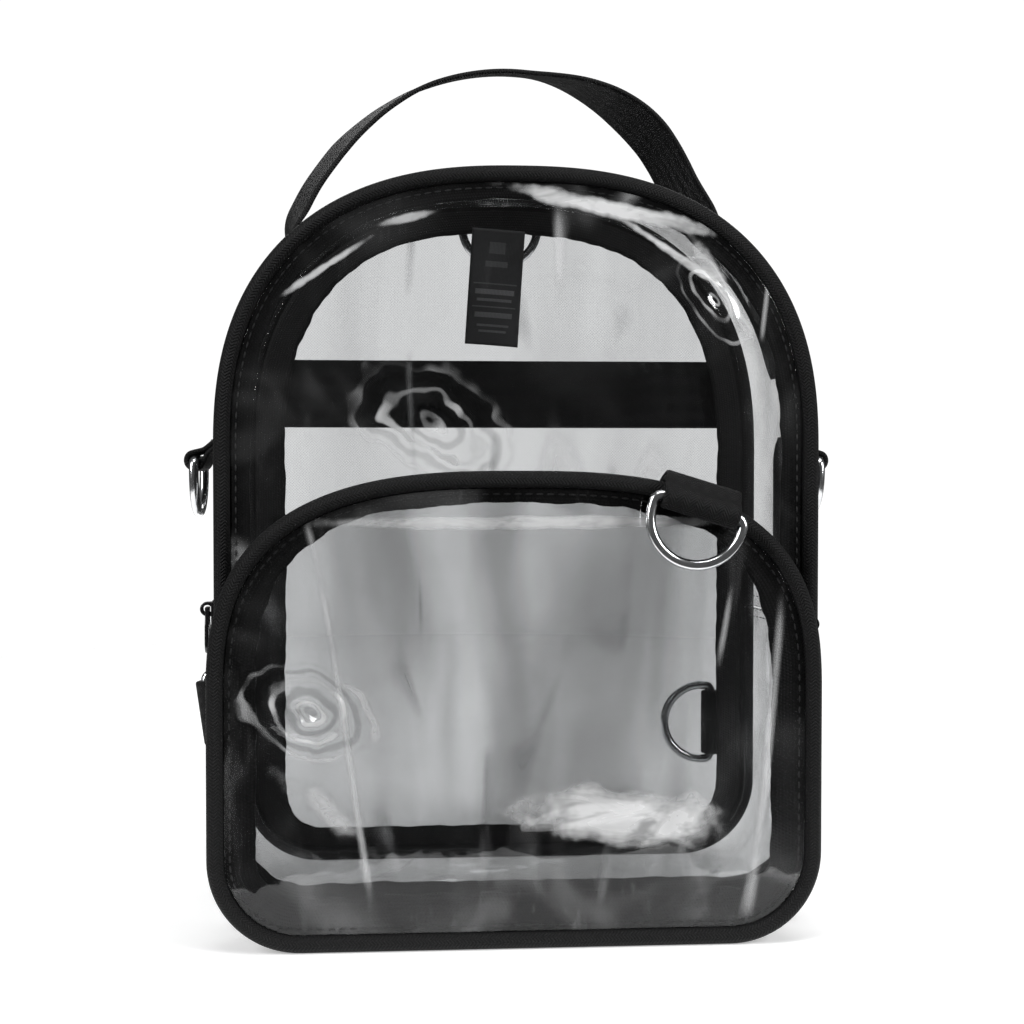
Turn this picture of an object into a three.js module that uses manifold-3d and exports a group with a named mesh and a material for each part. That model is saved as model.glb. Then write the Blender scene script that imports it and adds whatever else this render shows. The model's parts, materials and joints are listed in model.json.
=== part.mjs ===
// Clear stadium backpack: a small see-through bag with black woven trim.
// Millimetres, +Z up, +X to the wearer's right as seen from the front, the front faces -Y.
// The bag stands on its flat bottom, with the origin at the middle of that bottom.
import * as THREE from 'three';
import { mergeVertices } from 'three/addons/utils/BufferGeometryUtils.js';
import Module from 'manifold-3d';

const wasm = await Module();
wasm.setup();

// Driving dimensions of the body
const BODY_WIDTH = 191;
const FRONT_HEIGHT = 240;
const BACK_HEIGHT = 246;
const SEAM_DEPTH = 90;
const ARCH_SPRING = 150;
const ARCH_POWER = 2.48;
const CORNER_RADIUS = 28;
const CLEARANCE = 0.3;
const SEWN_GAP = 0.5;

// Clear sheet, piping and seam tape
const SHEET = 1.0;
const SHEET_SET_IN = 1.1;
const SIDE_BULGE = 3.1;
const FRONT_CROWN = 3.0;
const FRONT_CROWN_PLACE = 0.53;
const BACK_CROWN = 1.5;
const CROWN_POWER = 0.7;
const PIPING = 5.2;
const TAPE = 1.4;
const FRONT_TAPE_WIDTH = 8;
const BACK_TAPE_WIDTH = 11;

// Front pocket
const POCKET_WIDTH = 186.4;
const POCKET_HEIGHT = 144.5;
const POCKET_SPRING = 75;
const POCKET_POWER = 2.8;
const POCKET_DEPTH = 22;
const POCKET_SHIFT = -2.3;
const POCKET_CROWN = 3.5;
const POCKET_TAPE_WIDTH = 8;
const POCKET_SIDE_TAPER = 3.2;

// Zippers
const JOIN_HEIGHT = 94.5;
const ZIP_WIDTH = 30;
const COIL_WIDTH = 4.4;
const COIL_HEIGHT = 2.2;
const SLIDER_LENGTH = 9;
const SLIDER_WIDTH = 7.6;
const SLIDER_HEIGHT = 2.4;
const SLIDER_SHOULDER = 1.0;
const BAIL_WIDTH = 2.2;
const BAIL_HOLE = 1.35;
const BAIL_WALL = 1;
const BAIL_RISE = 1.5;
const BAIL_SUNK = 0.5;
const PULL_LENGTH = 15;
const PULL_WIDTH = 6.2;
const PULL_THICKNESS = 1.3;
const PULL_WINDOW = 3.2;
const PULL_NECK = 4;
const PULL_NECK_SET_IN = 1;
const PULL_SHOULDER = 2;
const GRIP_WIDTH = 2.6;
const GRIP_START = 8;
const GRIP_MARGIN = 3.2;

// Webbing, handle and rings
const WEBBING = 25;
const WEBBING_THICKNESS = 1.6;
const BAND_TOP = 185.5;
const CARRY_PLANE = 5;
const HANDLE_TOP = 282.5;
const HANDLE_POWER = 1.75;
const HANDLE_FOOT = 175;
const HANDLE_PATCH = 28;
const HANDLE_LEAN = 11.5;
const STRIP_TOP = 156;
const RING_INNER = 25;
const RING_WIRE = 3.2;
const RING_STRAIGHT = 1;
const RING_CORNER = 2.6;
const TAB_WIDTH = 24;
const TAB_HOLE = 0.45;
const SIDE_RING_HEIGHT = 148;
const SIDE_RING_STAND_OFF = 8.5;
const SIDE_TAB_SLOPE = 40;
const FRONT_RING_X = 52;
const FRONT_RING_DROP = 2;
const FRONT_RING_TILT = 17;
const BACK_RING_HEIGHT = 49;
const BACK_RING_X = 80.3;
const BACK_TOP_LEG = 6.5;
const BACK_TAB_LIFT = 0.8;
const TAB_FLAT_START = 5;
const LOOSE_TAB_HEIGHT = 54.8;
const LOOSE_TAB_LEG = 11.5;
const LOOSE_TAB_GAP = 1;
const LOOSE_TAB_TILT = 8;
const FOLDED_RING_LEAN = 18;

// Label
const LABEL_WIDTH = 19.5;
const LABEL_HEIGHT = 43;
const LABEL_THICKNESS = 0.8;
const LABEL_X = -1;
const LABEL_TILT = 4;
const LABEL_LAP = 4;

// How finely round stretches are cut
const BOTTOM_STEPS = 5;
const CORNER_STEPS = 6;
const SIDE_STEPS = 3;
const UPPER_SIDE_STEPS = 2;
const ARCH_STEPS = 34;
const PIPING_SIDES = 6;
const RING_SIDES = 6;
const RING_BAR_STEPS = 3;
const RING_CORNER_STEPS = 2;
const RING_BOW_STEPS = 10;
const HANDLE_PATCH_STEPS = 2;
const HANDLE_ARCH_STEPS = 22;

// Worked out from the driving dimensions
const PIPING_RADIUS = PIPING / 2;
const FRONT_Y = -SEAM_DEPTH / 2;
const BACK_Y = SEAM_DEPTH / 2;
const POCKET_Y = FRONT_Y - POCKET_DEPTH;
const EDGE_SET_IN = PIPING_RADIUS + CLEARANCE + 0.1;
const SHEET_START = PIPING_RADIUS + CLEARANCE + 0.1;
const BOTTOM_SAG = PIPING_RADIUS + SHEET_SET_IN - SHEET / 2;
const GUSSET_FRONT = FRONT_Y + SHEET_START;
const GUSSET_BACK = BACK_Y - SHEET_START;
const BAR_STAND_OFF = RING_WIRE / 2 + TAB_HOLE + WEBBING_THICKNESS;

// How far the gusset has reached its full bulge, from the front seam to the back seam
const BULGE_TABLE = [
  { depth: 0, share: 0 },
  { depth: 0.15, share: 0.75 },
  { depth: 0.35, share: 1 },
  { depth: 0.65, share: 1 },
  { depth: 0.85, share: 0.75 },
  { depth: 1, share: 0 },
];

function material(name, color, roughness, metalness = 0, opacity = 1) {
  const transparent = opacity < 1;
  return new THREE.MeshStandardMaterial({ name, color, roughness, metalness, opacity, transparent });
}
const clearSheet = () => material('clear_sheet', 0xe8ebec, 0.08, 0, 0.25);
const blackWeb = () => material('black_webbing', 0x101011, 0.75);
const blackTape = () => material('black_tape', 0x18181a, 0.8);
const blackCord = () => material('black_piping', 0x0d0d0e, 0.6);
const blackCoil = () => material('black_coil', 0x121214, 0.4);
const blackGloss = () => material('black_slider', 0x0a0a0b, 0.2, 0.3);
const chrome = () => material('chrome', 0xd0d2d4, 0.12, 1);

const object = new THREE.Group();

// Closed geometry with shared corners and its faces turned outwards
function closed(geometry) {
  geometry.deleteAttribute('normal');
  geometry.deleteAttribute('uv');
  const merged = mergeVertices(geometry, 1e-4);
  const position = merged.attributes.position;
  const index = merged.index.array;
  const a = new THREE.Vector3();
  const b = new THREE.Vector3();
  const c = new THREE.Vector3();
  const kept = [];
  let volume = 0;
  for (let i = 0; i < index.length; i += 3) {
    if (index[i] === index[i + 1] || index[i + 1] === index[i + 2] || index[i] === index[i + 2]) continue;
    a.fromBufferAttribute(position, index[i]);
    b.fromBufferAttribute(position, index[i + 1]);
    c.fromBufferAttribute(position, index[i + 2]);
    volume += a.dot(b.cross(c)) / 6;
    kept.push(index[i], index[i + 1], index[i + 2]);
  }
  if (volume < 0) {
    for (let i = 0; i < kept.length; i += 3) [kept[i + 1], kept[i + 2]] = [kept[i + 2], kept[i + 1]];
  }
  merged.setIndex(kept);
  return merged;
}

function addPiece(name, geometry, finish) {
  const solid = closed(geometry);
  solid.computeVertexNormals();
  const mesh = new THREE.Mesh(solid, finish);
  mesh.name = name;
  object.add(mesh);
  return mesh;
}

// Union of closed geometries
function fuse(...geometries) {
  const solids = geometries.map((geometry) => {
    const part = closed(geometry);
    const vertProperties = new Float32Array(part.attributes.position.array);
    const triVerts = new Uint32Array(part.index.array);
    return new wasm.Manifold(new wasm.Mesh({ numProp: 3, vertProperties, triVerts }));
  });
  const mesh = solids.reduce((sum, next) => sum.add(next)).getMesh();
  const fused = new THREE.BufferGeometry();
  fused.setAttribute('position', new THREE.BufferAttribute(new Float32Array(mesh.vertProperties), 3));
  fused.setIndex(Array.from(mesh.triVerts));
  return fused;
}

function geometryOf(points, triangles) {
  const geometry = new THREE.BufferGeometry();
  const numbers = points.flatMap((p) => [p.x, p.y, p.z]);
  geometry.setAttribute('position', new THREE.Float32BufferAttribute(numbers, 3));
  geometry.setIndex(triangles);
  return geometry;
}

// Thick sheet from two matching grids of points, rows by columns. A ring's columns close on themselves.
function thickSheet(outer, inner, ring) {
  const rows = outer.length;
  const columns = outer[0].length;
  const points = [...outer.flat(), ...inner.flat()];
  const half = rows * columns;
  const at = (side, row, column) => side * half + row * columns + (column % columns);
  const triangles = [];
  const quad = (a, b, c, d) => triangles.push(a, b, c, a, c, d);
  const spans = ring ? columns : columns - 1;
  for (let column = 0; column < spans; column += 1) {
    for (let row = 0; row < rows - 1; row += 1) {
      quad(at(0, row, column), at(0, row, column + 1), at(0, row + 1, column + 1), at(0, row + 1, column));
      quad(at(1, row, column), at(1, row + 1, column), at(1, row + 1, column + 1), at(1, row, column + 1));
    }
    quad(at(0, 0, column), at(1, 0, column), at(1, 0, column + 1), at(0, 0, column + 1));
    const last = rows - 1;
    quad(at(0, last, column), at(0, last, column + 1), at(1, last, column + 1), at(1, last, column));
  }
  if (!ring) {
    for (let row = 0; row < rows - 1; row += 1) {
      quad(at(0, row, 0), at(0, row + 1, 0), at(1, row + 1, 0), at(1, row, 0));
      const end = columns - 1;
      quad(at(0, row, end), at(1, row, end), at(1, row + 1, end), at(0, row + 1, end));
    }
  }
  return geometryOf(points, triangles);
}

// Value of a table's column between its rows
function tableValue(table, key, value, at) {
  const next = table.findIndex((row) => row[key] >= at);
  if (next <= 0) return table[Math.max(next, 0)][value];
  const low = table[next - 1];
  const high = table[next];
  return THREE.MathUtils.mapLinear(at, low[key], high[key], low[value], high[value]);
}

// Seam path of a panel: a straight bottom, round corners, straight sides and a full arch.
// Each point has its place and the outward direction, counted from the left join round the bottom.
function seamPath(width, height, spring, power, shift = 0) {
  const half = width / 2 - PIPING_RADIUS;
  const bottom = PIPING_RADIUS;
  const rise = height - PIPING_RADIUS - spring;
  const radius = CORNER_RADIUS - PIPING_RADIUS;
  const low = [];
  const high = [];
  const push = (list, x, z, nx, nz) => list.push({ x: x + shift, z, nx, nz });
  const corner = bottom + radius;
  const join = Math.min(JOIN_HEIGHT, spring);
  for (let i = 0; i < SIDE_STEPS; i += 1) {
    push(low, -half, THREE.MathUtils.lerp(join, corner, i / SIDE_STEPS), -1, 0);
  }
  for (let i = 0; i < CORNER_STEPS; i += 1) {
    const turn = (i / CORNER_STEPS) * Math.PI / 2;
    const nx = -Math.cos(turn);
    const nz = -Math.sin(turn);
    push(low, -half + radius + nx * radius, corner + nz * radius, nx, nz);
  }
  for (let i = 0; i < BOTTOM_STEPS; i += 1) {
    push(low, THREE.MathUtils.lerp(-half + radius, half - radius, i / BOTTOM_STEPS), bottom, 0, -1);
  }
  for (let i = 0; i < CORNER_STEPS; i += 1) {
    const turn = (i / CORNER_STEPS) * Math.PI / 2;
    const nx = Math.sin(turn);
    const nz = -Math.cos(turn);
    push(low, half - radius + nx * radius, corner + nz * radius, nx, nz);
  }
  for (let i = 0; i < SIDE_STEPS; i += 1) {
    push(low, half, THREE.MathUtils.lerp(corner, join, i / SIDE_STEPS), 1, 0);
  }
  const sideSteps = spring > join ? UPPER_SIDE_STEPS : 0;
  for (let i = 0; i < sideSteps; i += 1) {
    push(high, half, THREE.MathUtils.lerp(join, spring, i / sideSteps), 1, 0);
  }
  for (let i = 0; i <= ARCH_STEPS; i += 1) {
    const point = archPoint(half, rise, spring, power, (i / ARCH_STEPS) * Math.PI);
    push(high, point.x, point.z, point.nx, point.nz);
  }
  for (let i = 1; i < sideSteps; i += 1) {
    push(high, -half, THREE.MathUtils.lerp(spring, join, i / sideSteps), -1, 0);
  }
  return { low, high, all: [...low, ...high] };
}

// Point of the arch at an angle from its right foot, with its outward direction
function archPoint(half, rise, spring, power, angle) {
  const c = Math.cos(angle);
  const s = Math.sin(angle);
  const across = Math.sign(c) * Math.abs(c) ** (2 / power);
  const up = Math.max(s, 0) ** (2 / power);
  const nx = Math.sign(across) * Math.abs(across) ** (power - 1) / half;
  const nz = up ** (power - 1) / rise;
  const length = Math.hypot(nx, nz);
  return { x: across * half, z: spring + up * rise, nx: nx / length, nz: nz / length };
}

// Point of the right side of the body's seam at a height
function seamSidePoint(height, z) {
  const rise = height - PIPING_RADIUS - ARCH_SPRING;
  const up = THREE.MathUtils.clamp((z - ARCH_SPRING) / rise, 0, 1);
  const angle = Math.asin(up ** (ARCH_POWER / 2));
  return archPoint(BODY_WIDTH / 2 - PIPING_RADIUS, rise, ARCH_SPRING, ARCH_POWER, angle);
}

const frontSeam = seamPath(BODY_WIDTH, FRONT_HEIGHT, ARCH_SPRING, ARCH_POWER);
const backSeam = seamPath(BODY_WIDTH, BACK_HEIGHT, ARCH_SPRING, ARCH_POWER);
const pocketSeam = seamPath(POCKET_WIDTH, POCKET_HEIGHT, POCKET_SPRING, POCKET_POWER, POCKET_SHIFT);

const onSeam = (point, y, out) => new THREE.Vector3(point.x + point.nx * out, y, point.z + point.nz * out);

// Body gusset: how far its middle stands out of the seam path
function gussetOut(point, y) {
  const depth = (y - GUSSET_FRONT) / (GUSSET_BACK - GUSSET_FRONT);
  const share = tableValue(BULGE_TABLE, 'depth', 'share', depth);
  const side = SIDE_BULGE * point.nx ** 2;
  const sag = point.nz < 0 ? BOTTOM_SAG * point.nz ** 2 : 0;
  return (side + sag) * share - SHEET_SET_IN;
}

function gussetPoint(front, back, y, lift) {
  const share = (y - FRONT_Y) / SEAM_DEPTH;
  const out = gussetOut(front, y) + lift;
  const near = onSeam(front, y, out);
  const far = onSeam(back, y, out);
  return near.lerp(far, share);
}

// Strip of the gusset between two depths, raised off its middle surface
function gussetStrip(stretch, depths, thickness, raise = 0) {
  const grid = (lift) => depths.map(
    (y) => stretch.map(([front, back]) => gussetPoint(front, back, y, raise + lift)),
  );
  return thickSheet(grid(thickness / 2), grid(-thickness / 2), false);
}

const pair = (key) => frontSeam[key].map((point, i) => [point, backSeam[key][i]]);
const lowStretch = [...pair('low'), pair('high')[0]];
const highStretch = pair('high');
const leftJoin = pair('low')[0];
const lastStretch = [...highStretch, leftJoin];

const BULGE_DEPTHS = BULGE_TABLE.map((row) => THREE.MathUtils.lerp(GUSSET_FRONT, GUSSET_BACK, row.depth));
const ZIP_BACK = GUSSET_FRONT + ZIP_WIDTH;
const COIL_FRONT = GUSSET_FRONT + (ZIP_WIDTH - COIL_WIDTH) / 2;
const COIL_BACK = COIL_FRONT + COIL_WIDTH;

// The lower gusset stops short of the join by the clearance
function shorten(stretch, ends) {
  const trimmed = stretch.map(([front, back]) => [{ ...front }, { ...back }]);
  for (const end of ends) {
    const row = trimmed[end.index];
    row[0].z += end.shift;
    row[1].z += end.shift;
  }
  return trimmed;
}
const lowTrim = [{ index: 0, shift: -CLEARANCE }, { index: lowStretch.length - 1, shift: -CLEARANCE }];
addPiece('gusset_lower', gussetStrip(shorten(lowStretch, lowTrim), BULGE_DEPTHS, SHEET), clearSheet());

const upperDepths = [ZIP_BACK + CLEARANCE, CARRY_PLANE, BULGE_DEPTHS[3], BULGE_DEPTHS[4], GUSSET_BACK];
addPiece('gusset_upper', gussetStrip(lastStretch, upperDepths, SHEET), clearSheet());
const frontTapeDepths = [GUSSET_FRONT, COIL_FRONT - CLEARANCE];
const backTapeDepths = [COIL_BACK + CLEARANCE, ZIP_BACK];
addPiece('zip_tape_front', gussetStrip(lastStretch, frontTapeDepths, TAPE), blackTape());
addPiece('zip_tape_back', gussetStrip(lastStretch, backTapeDepths, TAPE), blackTape());
addPiece('zip_coil', gussetStrip(lastStretch, [COIL_FRONT, COIL_BACK], COIL_HEIGHT), blackCoil());

// Panels: rings of points that shrink from the seam to the middle, with a crown
const PANEL_RINGS = [1, 0.8, 0.45];
const FRONT_RINGS = [1, 0.62, 0.2];

function panel(seam, y, crown, centreHeight, facing, rings = PANEL_RINGS) {
  const centre = { x: seam.all.reduce((sum, p) => sum + p.x, 0) / seam.all.length, z: centreHeight };
  const rim = seam.all.map((point) => onSeam(point, y, -EDGE_SET_IN));
  const place = (x, z, side) => new THREE.Vector3(x, y + facing * crown(x, z) + side * SHEET / 2, z);
  const points = [];
  for (const side of [-1, 1]) {
    for (const share of rings) {
      for (const edge of rim) {
        const x = THREE.MathUtils.lerp(centre.x, edge.x, share);
        const z = THREE.MathUtils.lerp(centre.z, edge.z, share);
        points.push(place(x, z, side));
      }
    }
    points.push(place(centre.x, centre.z, side));
  }
  const count = rim.length;
  const half = rings.length * count + 1;
  const triangles = [];
  for (let i = 0; i < count; i += 1) {
    const j = (i + 1) % count;
    for (let ring = 0; ring < rings.length - 1; ring += 1) {
      const a = ring * count;
      const b = a + count;
      triangles.push(a + i, a + j, b + j, a + i, b + j, b + i);
      triangles.push(half + a + i, half + b + j, half + a + j, half + a + i, half + b + i, half + b + j);
    }
    const last = (rings.length - 1) * count;
    triangles.push(last + i, last + j, half - 1);
    triangles.push(half + last + j, half + last + i, half * 2 - 1);
    triangles.push(i, half + i, half + j, i, half + j, j);
  }
  return geometryOf(points, triangles);
}

// Soft hump between two heights and across a width, from 0 at its rim to 1 in the middle
function hump(x, z, half, low, high) {
  const up = (z - low) / (high - low);
  if (up <= 0 || up >= 1 || Math.abs(x) >= half) return 0;
  return Math.sin(Math.PI * up) * Math.cos((Math.PI / 2) * (x / half)) ** CROWN_POWER;
}

const seamHalf = BODY_WIDTH / 2 - PIPING_RADIUS - EDGE_SET_IN;
const frontMiddle = THREE.MathUtils.lerp(POCKET_HEIGHT, FRONT_HEIGHT, FRONT_CROWN_PLACE);
const crownStart = THREE.MathUtils.lerp(frontMiddle, ARCH_SPRING, FRONT_RINGS[1]) + CLEARANCE;
const frontBow = (x, z) => FRONT_CROWN * hump(x, z, seamHalf, crownStart, FRONT_HEIGHT - PIPING);
const backBow = (x, z) => BACK_CROWN * hump(x, z, seamHalf, PIPING, BACK_HEIGHT - PIPING);
const pocketHalf = POCKET_WIDTH / 2 - PIPING_RADIUS - EDGE_SET_IN;
const pocketTop = POCKET_HEIGHT - PIPING;
const pocketBow = (x, z) => POCKET_CROWN * hump(x - POCKET_SHIFT, z, pocketHalf, PIPING, pocketTop);

addPiece('front_panel', panel(frontSeam, FRONT_Y, frontBow, frontMiddle, -1, FRONT_RINGS), clearSheet());
addPiece('back_panel', panel(backSeam, BACK_Y, backBow, BACK_HEIGHT / 2, 1), clearSheet());
addPiece('pocket_panel', panel(pocketSeam, POCKET_Y, pocketBow, POCKET_HEIGHT / 2, -1), clearSheet());

// Piping: round cord along each seam
class LoopCurve extends THREE.Curve {
  constructor(points) {
    super();
    this.points = points;
  }

  getPoint(t, target = new THREE.Vector3()) {
    const count = this.points.length;
    const place = (t % 1) * count;
    const whole = Math.floor(place + 1e-6);
    const next = this.points[(whole + 1) % count];
    return target.copy(this.points[whole % count]).lerp(next, Math.max(place - whole, 0));
  }

  getPointAt(t, target) {
    return this.getPoint(t, target);
  }

  getTangentAt(t, target = new THREE.Vector3()) {
    const count = this.points.length;
    const i = Math.round((t % 1) * count) % count;
    const before = this.points[(i + count - 1) % count];
    const after = this.points[(i + 1) % count];
    return target.copy(after).sub(before).normalize();
  }
}

function loopTube(points, radius, sides) {
  return new THREE.TubeGeometry(new LoopCurve(points), points.length, radius, sides, true);
}

function pipingLoop(seam, y) {
  const path = seam.all.map((point) => onSeam(point, y, 0));
  return loopTube(path, PIPING_RADIUS, PIPING_SIDES);
}
addPiece('piping_front', pipingLoop(frontSeam, FRONT_Y), blackCord());
addPiece('piping_back', pipingLoop(backSeam, BACK_Y), blackCord());
addPiece('piping_pocket', pipingLoop(pocketSeam, POCKET_Y), blackCord());

// Seam tape: flat woven ring behind each panel's rim
function seamTape(seam, y, width) {
  const grid = (depth) => [EDGE_SET_IN, EDGE_SET_IN + width].map(
    (inset) => seam.all.map((point) => onSeam(point, depth, -inset)),
  );
  return thickSheet(grid(y - TAPE / 2), grid(y + TAPE / 2), true);
}
const tapeOffset = SHEET / 2 + CLEARANCE + TAPE / 2;
const frontTapeY = FRONT_Y + tapeOffset;
const backTapeY = BACK_Y - tapeOffset;
addPiece('seam_tape_front', seamTape(frontSeam, frontTapeY, FRONT_TAPE_WIDTH), blackTape());
addPiece('seam_tape_back', seamTape(backSeam, backTapeY, BACK_TAPE_WIDTH), blackTape());
addPiece('seam_tape_pocket', seamTape(pocketSeam, POCKET_Y + tapeOffset, POCKET_TAPE_WIDTH), blackTape());

// Pocket gusset: tapers inwards so that its back edge clears the body's piping
const POCKET_GUSSET_FRONT = POCKET_Y + SHEET_START;
const POCKET_GUSSET_BACK = FRONT_Y - SHEET / 2 - CLEARANCE;
function pocketOut(y) {
  const share = (y - POCKET_GUSSET_FRONT) / (POCKET_GUSSET_BACK - POCKET_GUSSET_FRONT);
  return -SHEET_SET_IN - POCKET_SIDE_TAPER * share;
}
function pocketStrip(stretch, depths, low, high, ring) {
  const grid = (lift) => depths.map((y) => stretch.map((point) => onSeam(point, y, pocketOut(y) + lift)));
  return thickSheet(grid(high), grid(low), ring);
}
const pocketDepths = [POCKET_GUSSET_FRONT, POCKET_GUSSET_BACK];
addPiece('pocket_gusset', pocketStrip(pocketSeam.all, pocketDepths, -TAPE / 2, TAPE / 2, true), blackWeb());

const pocketCoilY = (POCKET_GUSSET_FRONT + POCKET_GUSSET_BACK) / 2;
const pocketCoilDepths = [pocketCoilY - COIL_WIDTH / 2, pocketCoilY + COIL_WIDTH / 2];
const coilLow = TAPE / 2 + CLEARANCE;
const coilHigh = coilLow + COIL_HEIGHT / 2;
const pocketCoil = pocketStrip(pocketSeam.high, pocketCoilDepths, coilLow, coilHigh, false);
addPiece('pocket_zip_coil', pocketCoil, blackCoil());

// Places a piece modelled in its own frame: u across, w along, n outwards
function placed(geometry, origin, across, along, outwards) {
  const matrix = new THREE.Matrix4().makeBasis(across, along, outwards).setPosition(origin);
  return geometry.applyMatrix4(matrix);
}

const vector = (x, y, z) => new THREE.Vector3(x, y, z);
const extrude = (shape, depth, curveSegments = 6) => {
  const geometry = new THREE.ExtrudeGeometry(shape, { depth, bevelEnabled: false, curveSegments });
  return geometry.translate(0, 0, -depth / 2);
};

// Slider with a bail, and its pull. Drawn with x across the tape, y along it and z out of the bag.
const BAIL_CENTRE = SLIDER_HEIGHT + BAIL_RISE;
const BAIL_PLACE = 1;

// Profile drawn in the plane of y and z, then laid across x
function acrossProfile(shape, width, segments) {
  const geometry = extrude(shape, width, segments);
  const turn = new THREE.Matrix4().makeBasis(vector(0, 1, 0), vector(0, 0, 1), vector(1, 0, 0));
  return geometry.applyMatrix4(turn);
}

function sliderGeometry() {
  const half = SLIDER_LENGTH / 2;
  const body = new THREE.Shape();
  body.moveTo(-half, 0);
  body.lineTo(half, 0);
  body.lineTo(half, SLIDER_HEIGHT - SLIDER_SHOULDER);
  body.lineTo(half - SLIDER_SHOULDER, SLIDER_HEIGHT);
  body.lineTo(-half + SLIDER_SHOULDER, SLIDER_HEIGHT);
  body.lineTo(-half, SLIDER_HEIGHT - SLIDER_SHOULDER);
  const bail = new THREE.Shape();
  const outer = BAIL_HOLE + BAIL_WALL;
  bail.moveTo(BAIL_PLACE - outer, SLIDER_HEIGHT - BAIL_SUNK);
  bail.lineTo(BAIL_PLACE + outer, SLIDER_HEIGHT - BAIL_SUNK);
  bail.lineTo(BAIL_PLACE + outer, BAIL_CENTRE);
  bail.absarc(BAIL_PLACE, BAIL_CENTRE, outer, 0, Math.PI, false);
  const hole = new THREE.Path();
  hole.absarc(BAIL_PLACE, BAIL_CENTRE, BAIL_HOLE, 0, Math.PI * 2, true);
  bail.holes.push(hole);
  return fuse(acrossProfile(body, SLIDER_WIDTH), acrossProfile(bail, BAIL_WIDTH));
}

function pullGeometry() {
  const half = PULL_WIDTH / 2;
  const neckHalf = half - PULL_NECK_SET_IN;
  const top = PULL_THICKNESS / 2;
  const neckEnd = top - PULL_NECK;
  const shoulder = neckEnd - PULL_SHOULDER;
  const tip = top - PULL_LENGTH + half;
  const plate = new THREE.Shape();
  plate.moveTo(-neckHalf, top);
  plate.lineTo(neckHalf, top);
  plate.lineTo(neckHalf, neckEnd);
  plate.lineTo(half, shoulder);
  plate.lineTo(half, tip);
  plate.absarc(0, tip, half, 0, -Math.PI, true);
  plate.lineTo(-half, shoulder);
  plate.lineTo(-neckHalf, neckEnd);
  const slotHalf = BAIL_WIDTH / 2 + CLEARANCE;
  const slotTop = top - PULL_THICKNESS;
  const slot = new THREE.Path();
  slot.moveTo(-slotHalf, slotTop);
  slot.lineTo(-slotHalf, slotTop - PULL_WINDOW);
  slot.lineTo(slotHalf, slotTop - PULL_WINDOW);
  slot.lineTo(slotHalf, slotTop);
  const grip = new THREE.Path();
  grip.absarc(0, top - PULL_LENGTH + GRIP_MARGIN, GRIP_WIDTH / 2, Math.PI, Math.PI * 2, false);
  grip.absarc(0, top - GRIP_START, GRIP_WIDTH / 2, 0, Math.PI, false);
  plate.holes.push(slot, grip);
  return extrude(plate, PULL_THICKNESS, 5).translate(0, BAIL_PLACE, BAIL_CENTRE);
}

function addSlider(prefix, origin, across, along, outwards) {
  addPiece(`${prefix}_slider`, placed(sliderGeometry(), origin, across, along, outwards), blackGloss());
  addPiece(`${prefix}_pull`, placed(pullGeometry(), origin, across, along, outwards), blackGloss());
}

const coilMiddle = (COIL_FRONT + COIL_BACK) / 2;
const mainSliderHeight = JOIN_HEIGHT + SLIDER_LENGTH / 2;
const mainSliderOut = gussetOut({ nx: -1, nz: 0 }, coilMiddle) + COIL_HEIGHT / 2 + CLEARANCE;
const seamSide = BODY_WIDTH / 2 - PIPING_RADIUS;
const sliderAt = vector(-seamSide - mainSliderOut, coilMiddle, mainSliderHeight);
addSlider('zip', sliderAt, vector(0, -1, 0), vector(0, 0, 1), vector(-1, 0, 0));

const pocketSliderPoint = pocketSeam.high[2];
const pocketSliderAt = onSeam(pocketSliderPoint, pocketCoilY, pocketOut(pocketCoilY) + coilHigh + SEWN_GAP);
const pocketOutwards = vector(pocketSliderPoint.nx, 0, pocketSliderPoint.nz);
const pocketAlong = vector(-pocketSliderPoint.nz, 0, pocketSliderPoint.nx);
addSlider('pocket_zip', pocketSliderAt, vector(0, 1, 0), pocketAlong, pocketOutwards);

// Webbing band across the back panel
function sheetBetween(columns, rows, place) {
  const grid = (side) => rows.map((row) => columns.map((column) => place(column, row, side)));
  return thickSheet(grid(1), grid(-1), false);
}
const BAND_COLUMNS = [-1, -0.75, -0.5, -0.25, 0, 0.25, 0.5, 0.75, 1];
// Half width inside the back piping at a height, allowing for the seam's slope there
function backHalfAt(z) {
  const point = seamSidePoint(BACK_HEIGHT, z);
  return point.x - EDGE_SET_IN / point.nx;
}
const BAND_ROWS = [BAND_TOP - WEBBING, BAND_TOP - WEBBING / 2, BAND_TOP];
const bandLift = SHEET / 2 + CLEARANCE + WEBBING_THICKNESS / 2;
const band = sheetBetween(BAND_COLUMNS, BAND_ROWS, (column, z, side) => {
  const x = column * backHalfAt(z);
  return vector(x, BACK_Y + backBow(x, z) + bandLift + side * WEBBING_THICKNESS / 2, z);
});
addPiece('back_band', band, blackWeb());

// Side strips of webbing on the gusset, from the join up to a rounded top
const STRIP_ROWS = [
  { up: 0, reach: 1 },
  { up: 0.35, reach: 1 },
  { up: 0.7, reach: 1 },
  { up: 0.78, reach: 1 },
  { up: 0.86, reach: 1 },
  { up: 0.93, reach: 0.95 },
  { up: 1, reach: 0.6 },
];
function sideStrip(sign) {
  const bottom = JOIN_HEIGHT + CLEARANCE;
  const height = (up) => THREE.MathUtils.lerp(bottom, STRIP_TOP, up);
  const rows = STRIP_ROWS.map(({ up, reach }) => ({ z: height(up), reach }));
  const columns = [-1, -0.2, 0.6, 1];
  const grid = (side) => rows.map(({ z, reach }) => columns.map((column) => {
    const y = CARRY_PLANE + column * reach * WEBBING / 2;
    const lift = SHEET / 2 + SEWN_GAP + WEBBING_THICKNESS / 2 + side * WEBBING_THICKNESS / 2;
    return gussetSide(sign, z, y, lift);
  }));
  return thickSheet(grid(1), grid(-1), false);
}

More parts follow.
